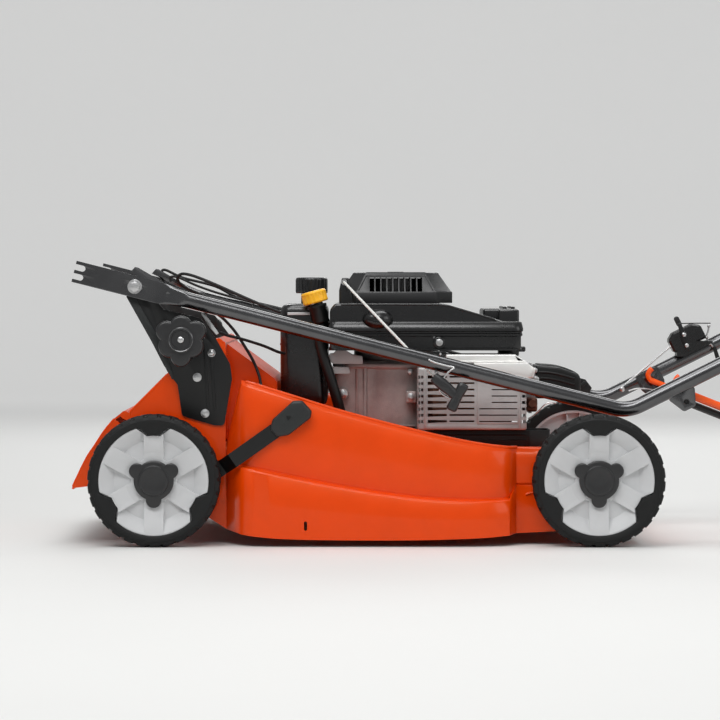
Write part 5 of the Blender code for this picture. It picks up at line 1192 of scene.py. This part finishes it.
def make_throttle():
    """The fittings on the left tube's control box: its end plate with a rim and two screws, the throttle
    knob, and a wire guide with beads on a black stem.
    """
    plate = fitting([(530, 331), (537, 331), (548, 300), (552, 286), (545, 285), (538, 303)], 210.5, 214.3,
                    0.6, 1.2)
    rim = wire([(534, 330.5), (560, 331), (586, 331)], 0.9, 213.4)
    piece(together(plate, rim), "throttle_plate", "black_paint", "handle", smooth=40)
    screws = [stacked([(3.4 * MM, 0.2105), (3.4 * MM, 0.2090), (2.2 * MM, 0.2082)], at(x, z), "Y", 20)
              for x, z in ((541.5, 312), (546, 294))]
    piece(together(*screws), "throttle_screws", "zinc_steel", "handle", smooth=40)
    knob = bevelled(prism(capsule(beside(BEND, UPPER, 0.172, 0.056), beside(BEND, UPPER, 0.172, 0.0655),
                                  4.4 * MM, 8),
                          "Y", 0.2275, 0.2355), 1.2 * MM, 3)
    piece(knob, "throttle_knob", "charcoal_plastic", "throttle_lever", smooth=45)
    loop = wire([(584, 328), (583, 318), (580, 308), (585, 299), (592, 290)], 1.5, 221)
    beads = [stacked([(0.6 * MM, 0.2178), (2.4 * MM, 0.2194), (2.8 * MM, 0.221), (2.4 * MM, 0.2226),
                      (0.6 * MM, 0.2242)],
                     at(x, z), "Y", 18) for x, z in ((584, 326), (580.5, 307), (586, 297.5))]
    stem = fitting([(590, 292), (596, 292), (604, 268), (597, 266)], 219, 223, 0.6, 1.2)
    piece(together(loop, *beads), "upper_wire_guide", "zinc_steel", "handle", smooth=50)
    piece(stem, "upper_guide_stem", "black_paint", "handle", smooth=40)


def make_bail_hooks():
    """The turned-up ends of the brake bail."""
    pivot = beside(BEND, UPPER, 0.086, -0.006)
    hooks = []
    for side in SIDES.values():
        path = [(pivot[0] + x * MM, side * y * MM, pivot[1] + z * MM) for x, y, z in
                ((6, 210, -2.4), (-1, 209.6, 1.5), (-4.5, 209, 9), (-1.5, 208.6, 16), (2.5, 208.4, 20))]
        hooks.append(swept(smooth_path(path, 5), 4.4 * MM, 16))
    piece(together(*hooks), "brake_bail_hooks", "bail_coat", "brake_bail", smooth=50)


def make_rope_guide():
    """A bent wire: it lies along the tube, hooks over it and drops to a loop round the grip's neck."""
    eye = (at(118.5, 0)[0], -TUBE_Y, 0.249479)
    strap = wire([(104, -248.4, 281.5), (112, -249.6, 277.5), (122, -249.9, 274.5), (134, -249.8, 271.3),
                  (140.5, -250.2, 270.3),
                  (142, -251.4, 268.4), (137.5, -251.8, 265.5), (130.5, -251.4, 259), (125, -250.6, 250),
                  (121.5, -249.6, 241),
                  (121, -248.9, 234), (126, -248.9, 228.5), (136.5, -249, 222.5)], 1.45, None, 6)
    over = []
    for k in range(25):
        angle = math.radians(-105 + 210 * k / 24)
        along, across = 0.0155 * math.cos(angle), 0.0155 * math.sin(angle)
        x, z = beside(polar(PIVOT, LOWER, 0.475), LOWER, 0, across)
        over.append((x, -TUBE_Y + along, z))
    ring = swept(over, 1.5 * MM, 12)
    loop = [(eye[0] + 7 * MM * math.cos(math.radians(a)), eye[1],
             eye[2] + 7 * MM * math.sin(math.radians(a)))
            for a in range(70, 431, 12)]
    tail = swept([(eye[0], -TUBE_Y - 0.8 * MM, eye[2] + 6.8 * MM), (eye[0] + 0.5 * MM, -TUBE_Y - 0.6 * MM,
                                                                    eye[2] + 15 * MM)], 1.5 * MM, 12)
    piece(together(strap, ring, swept(loop, 1.5 * MM, 12), tail), "rope_guide_wire", "zinc_steel", "handle",
          "rope_guide",
          smooth=60)


def make_starter_grip():
    """The T grip: a tapered neck with a shoulder, and a bar with flared ends and a flat face."""
    eye = Vector((at(118.5, 0)[0], -0.2397, 0.249479))
    start = eye + Vector((0, -8.5, 0)) * MM
    end = eye + Vector((29, -11, -24)) * MM

    def pill(centre_a, centre_b, levels, wide):
        """Rounded-square rings along a line: (share of the length, half size)."""
        way = (centre_b - centre_a)
        ahead = way.normalized()
        out = Vector((0, -1, 0))
        out = (out - ahead * out.dot(ahead)).normalized()
        other = ahead.cross(out)
        rings = []
        for share, half in levels:
            ring = []
            for k in range(28):
                a = 2 * math.pi * k / 28
                power = 1 / (abs(math.cos(a)) ** 3.2 + abs(math.sin(a)) ** 3.2) ** (1 / 3.2)
                offset = out * math.cos(a) * half + other * math.sin(a) * half * wide
                ring.append(centre_a + way * share + offset * power * MM)
            rings.append(ring)
        return lofted(rings)
    neck = pill(start, end, ((-0.26, 4.5), (-0.24, 6.6), (-0.1, 7.6), (0.25, 8.2), (0.55, 7.6), (0.62, 7.0),
                             (0.7, 7.2), (1, 7.4)),
                1.12)
    first = eye + Vector((39.5, -12, -4)) * MM
    last = eye + Vector((18.5, -12, -45)) * MM
    cross = pill(first, last, ((0, 4.5), (0.02, 6.8), (0.06, 8.3), (0.16, 8.5), (0.34, 7.6), (0.5, 7.3),
                               (0.66, 7.6),
                               (0.84, 8.5), (0.94, 8.3), (0.98, 6.8), (1, 4.5)), 0.98)
    collar = stacked([(4.2 * MM, eye[1]), (5.4 * MM, eye[1] - 0.8 * MM), (6.2 * MM, eye[1] - 4 * MM),
                      (6.6 * MM, eye[1] - 12 * MM)], (eye[0], eye[2]), "Y", 28)
    dots = []
    for k in range(3):
        centre = first + (last - first) * (0.38 + 0.12 * k)
        dots.append(stacked([(1.3 * MM, centre[1] - 6.9 * MM), (1.0 * MM, centre[1] - 7.9 * MM)],
                            (centre[0], centre[2]),
                            "Y", 14))
    piece(together(neck, cross, collar, *dots), "pull_grip", "charcoal_plastic", "starter_grip",
          "starter_grip",
          smooth=50)


def cord(path, radius, name, finish, stiffness, lay, body, *nodes):
    """A cord swept along a route, in metres, that ends in the object at both ends."""
    path = [Vector(p) for k,
            p in enumerate(path) if k == 0 or (Vector(p) - Vector(path[k - 1])).length > 1e-5]
    made = piece(swept(path, radius * MM, 16), name, finish, body, *nodes, smooth=60)
    return path


def make_rope():
    """The starter rope, taut from the starter to the grip's eye."""
    start = Vector((at(-25, 0)[0], -0.0753, 0.399))
    eye = Vector((PIVOT[0] + 0.475 * math.cos(LOWER), -TUBE_Y, PIVOT[1] + 0.475 * math.sin(LOWER) - 0.026))
    over = Vector((at(-3, 0)[0], -0.148, 0.376))
    route = [start, start + Vector((0, -0.014, 0)), over, eye + Vector((0, 0.009, 0)),
             eye + Vector((0, -0.0029, 0))]
    cord(rounded_path(route, 9 * MM, 8), 2, "pull_rope", "white_cord", "limp", "taut",
         ("handle_carrier", "handle", over, eye), "starter_rope")


def make_cables():
    """The brake cable along the left tube and down to the engine, and two cables inside the right bracket."""
    along = [beside(PIVOT, LOWER, reach * MM, 4 * MM) for reach in (700, 520, 300, 170, 95)]
    free = [(-283, 214, 386), (-301, 205, 398), (-303, 196, 409), (-289, 186, 413), (-250, 172, 400),
            (-150, 146, 357),
            (-90, 132, 338), (-50.3, 125, 336)]
    route = [(x, 0.2195, z) for x, z in along] + [spot(x, y, z) for x, y, z in free]
    path = cord(smooth_path(route, 6), 2.5, "control_cable", "black_rubber", "medium", "taut",
                ("handle_carrier", "handle", (0, 0.140, 0), (0, 0.212, 0)),
                "brake_cable")
    piece(swept([path[0], path[0] + (path[1] - path[0]).normalized() * 0.02], 3.4 * MM, 20),
          "cable_ferrule",
          "black_rubber", "handle", smooth=50)
    upper = [(-232, -216, 338), (-222, -212, 326), (-204, -204, 318), (-182, -190, 312), (-150, -160, 301),
             (-128, -136, 291),
             (-118, -122, 288)]
    lower = [(-238, -215, 352), (-226, -206, 354), (-211, -190, 344), (-194, -176, 325), (-179, -168, 302),
             (-163, -168, 274),
             (-153, -178, 245), (-149, -184, 200), (-148, -184, 152)]
    for name, points in (("drive_cable_upper", upper), ("drive_cable_lower", lower)):
        route = [spot(x, y, z) for x, y, z in points]
        cord(smooth_path(route, 8), 2.3, name, "black_rubber", "medium", "loose", "mower")
    tab = fitting([(-243, 352), (-238, 353), (-222, 331), (-215, 321), (-219, 318.5), (-229, 330)], -220.4,
                  -218.4, 0.5, 1.0)
    piece(tab, "cable_tab", "zinc_steel", "mower", smooth=40)


def make_sheaths():
    """Two cable sheaths clipped along the top of the left tube."""
    def run(points, depth):
        route = [(*beside(PIVOT, LOWER, a * MM, b * MM), depth) for a, b in points]
        return [(x, y * MM, z) for x, z, y in route]
    high = run(((9, 10), (3, 24), (8, 31), (40, 25.5), (96, 25), (140, 15.5), (210, 15.5), (330, 15.2),
                (520, 15.2), (700, 15.2)), 236.5)
    low = run(((22, 14), (20, 22), (34, 24), (70, 18), (120, 14.6), (210, 14.6), (330, 14.6), (520, 14.6),
               (700, 14.6)), 229.5)
    piece(together(swept(smooth_path(high), 2.3 * MM, 14), swept(smooth_path(low), 2.0 * MM, 14)),
          "cable_sheaths",
          "black_rubber", "handle", smooth=60)
    clips = []
    for reach in (165, 360, 560):
        ring = []
        for k in range(33):
            angle = 2 * math.pi * k / 32
            x, z = beside(PIVOT, LOWER, reach * MM, (2.5 + 15.8 * math.sin(angle)) * MM)
            ring.append((x, (234.5 + 14.5 * math.cos(angle)) * MM, z))
        clips.append(swept(ring, 1.1 * MM, 10))
    piece(together(*clips), "sheath_clips", "black_plastic", "handle", smooth=60)


# Rear

def make_rear_trim():
    """Folded edges on the rear housing and its guard, and seams on the guard."""
    edges = []
    for side in SIDES.values():
        path = [spot(x, side * 219.4, z) for x, z in
                ((-350.6, 168), (-350.6, 201), (-295, 256.8), (-216, 313.2), (-206, 305))]
        edges.append(swept(rounded_path(path, 6 * MM, 5), 2.0 * MM, 10))
    piece(together(*edges), "housing_edges", "orange_paint", "mower")
    trims = []
    for side in SIDES.values():
        path = [spot(x, side * 222.4, z) for x, z in
                ((-437.6, 87), (-434.6, 94.5), (-416.7, 131), (-404.7, 149), (-389.7, 172),
                 (-374.5, 190.3))]
        trims.append(swept(smooth_path(path, 4), 1.9 * MM, 10))
    piece(together(*trims), "guard_edges", "orange_paint", "rear_guard")
    ribs = []
    for y in (-150, -75, 0, 75, 150):
        path = [spot(x, y, z) for x, z in ((-430, 102), (-412.5, 136), (-400, 154.4), (-386, 174.5))]
        ribs.append(swept(smooth_path(path, 4), 2.4 * MM, 10))
    piece(together(*ribs), "guard_ribs", "orange_paint", "rear_guard", smooth=60)


def make_painted_shade_tray():
    """A folded black sheet on the deck below the muffler guard, open at the top, with two pressed beads:
    painted shade, a dark sheet put where the deck well lies in shadow.
    """
    corners = [(88, -150), (262, -150), (296, -128), (296, -70), (88, -70)]
    plan = placed(*corners)
    inside = placed((90, -148), (261.4, -148), (294, -127), (294, -72), (90, -72))
    tray = cut(prism(rounded(plan, 9 * MM), "Z", 0.1444, 0.1692),
               prism(rounded(inside, 8 * MM), "Z", 0.1464, 0.18))
    beads = [swept([(x * MM + SHIFT, -0.1502, z) for x in (98, 258)], 1.6 * MM, 10) for z in (0.1545,
                                                                                              0.1625)]
    # Painted shade: this black sheet darkens the deck below the guard where it lies in shadow.
    piece(together(bevelled(tray, 0.5 * MM, 2), *beads), "painted_shade_tray", "black_paint", "mower", smooth=40)


# The CAD nodes that keep their shape get softened edges

def soften(width, *names):
    for name in names:
        bevel = frame["nodes"][name].modifiers.new("Bevel", "BEVEL")
        bevel.width = width * MM
        bevel.segments = 2
        bevel.limit_method = "ANGLE"
        bevel.angle_limit = math.radians(38)
        bevel.use_clamp_overlap = True


def paint_nodes():
    slots = {s["node"]: s["material_slot"] for s in frame["record"]["subparts"]}
    for name, obj in frame["nodes"].items():
        obj.data.materials.clear()
        obj.data.materials.append(LOOKS[slots[name]])


set_view()
LOOKS = make_finishes()
set_light()
set_floor()
paint_nodes()
make_rope()
make_cables()
make_wheels()
make_deck()
make_handle()
make_bails()
for name, side in SIDES.items():
    make_bracket(side, name)
    make_pivot_bolt(side, name)
    make_knob(side, name)
make_lever()
make_starter()
make_blower()
make_crankcase()
make_cylinder_covers()
make_muffler_guard()
make_tanks()
make_cable_anchor()
make_throttle()
make_bail_hooks()
make_sheaths()
make_rope_guide()
make_starter_grip()
make_rear_trim()
make_painted_shade_tray()
soften(0.5, "height_lever", "lift_link", "rear_axle_crank", "front_axle_crank", "guard_hinge_rod",
       "drive_shaft",
       "crankshaft", "blade_adapter", "blade_bolt", "throttle_lever", "engine_cylinder", "mower_blade")
soften(1.2, "rear_housing", "rear_guard", "drive_gearbox", "flywheel", "muffler", "carburettor",
       "air_cleaner",
       "throttle_housing", "spark_plug_boot")
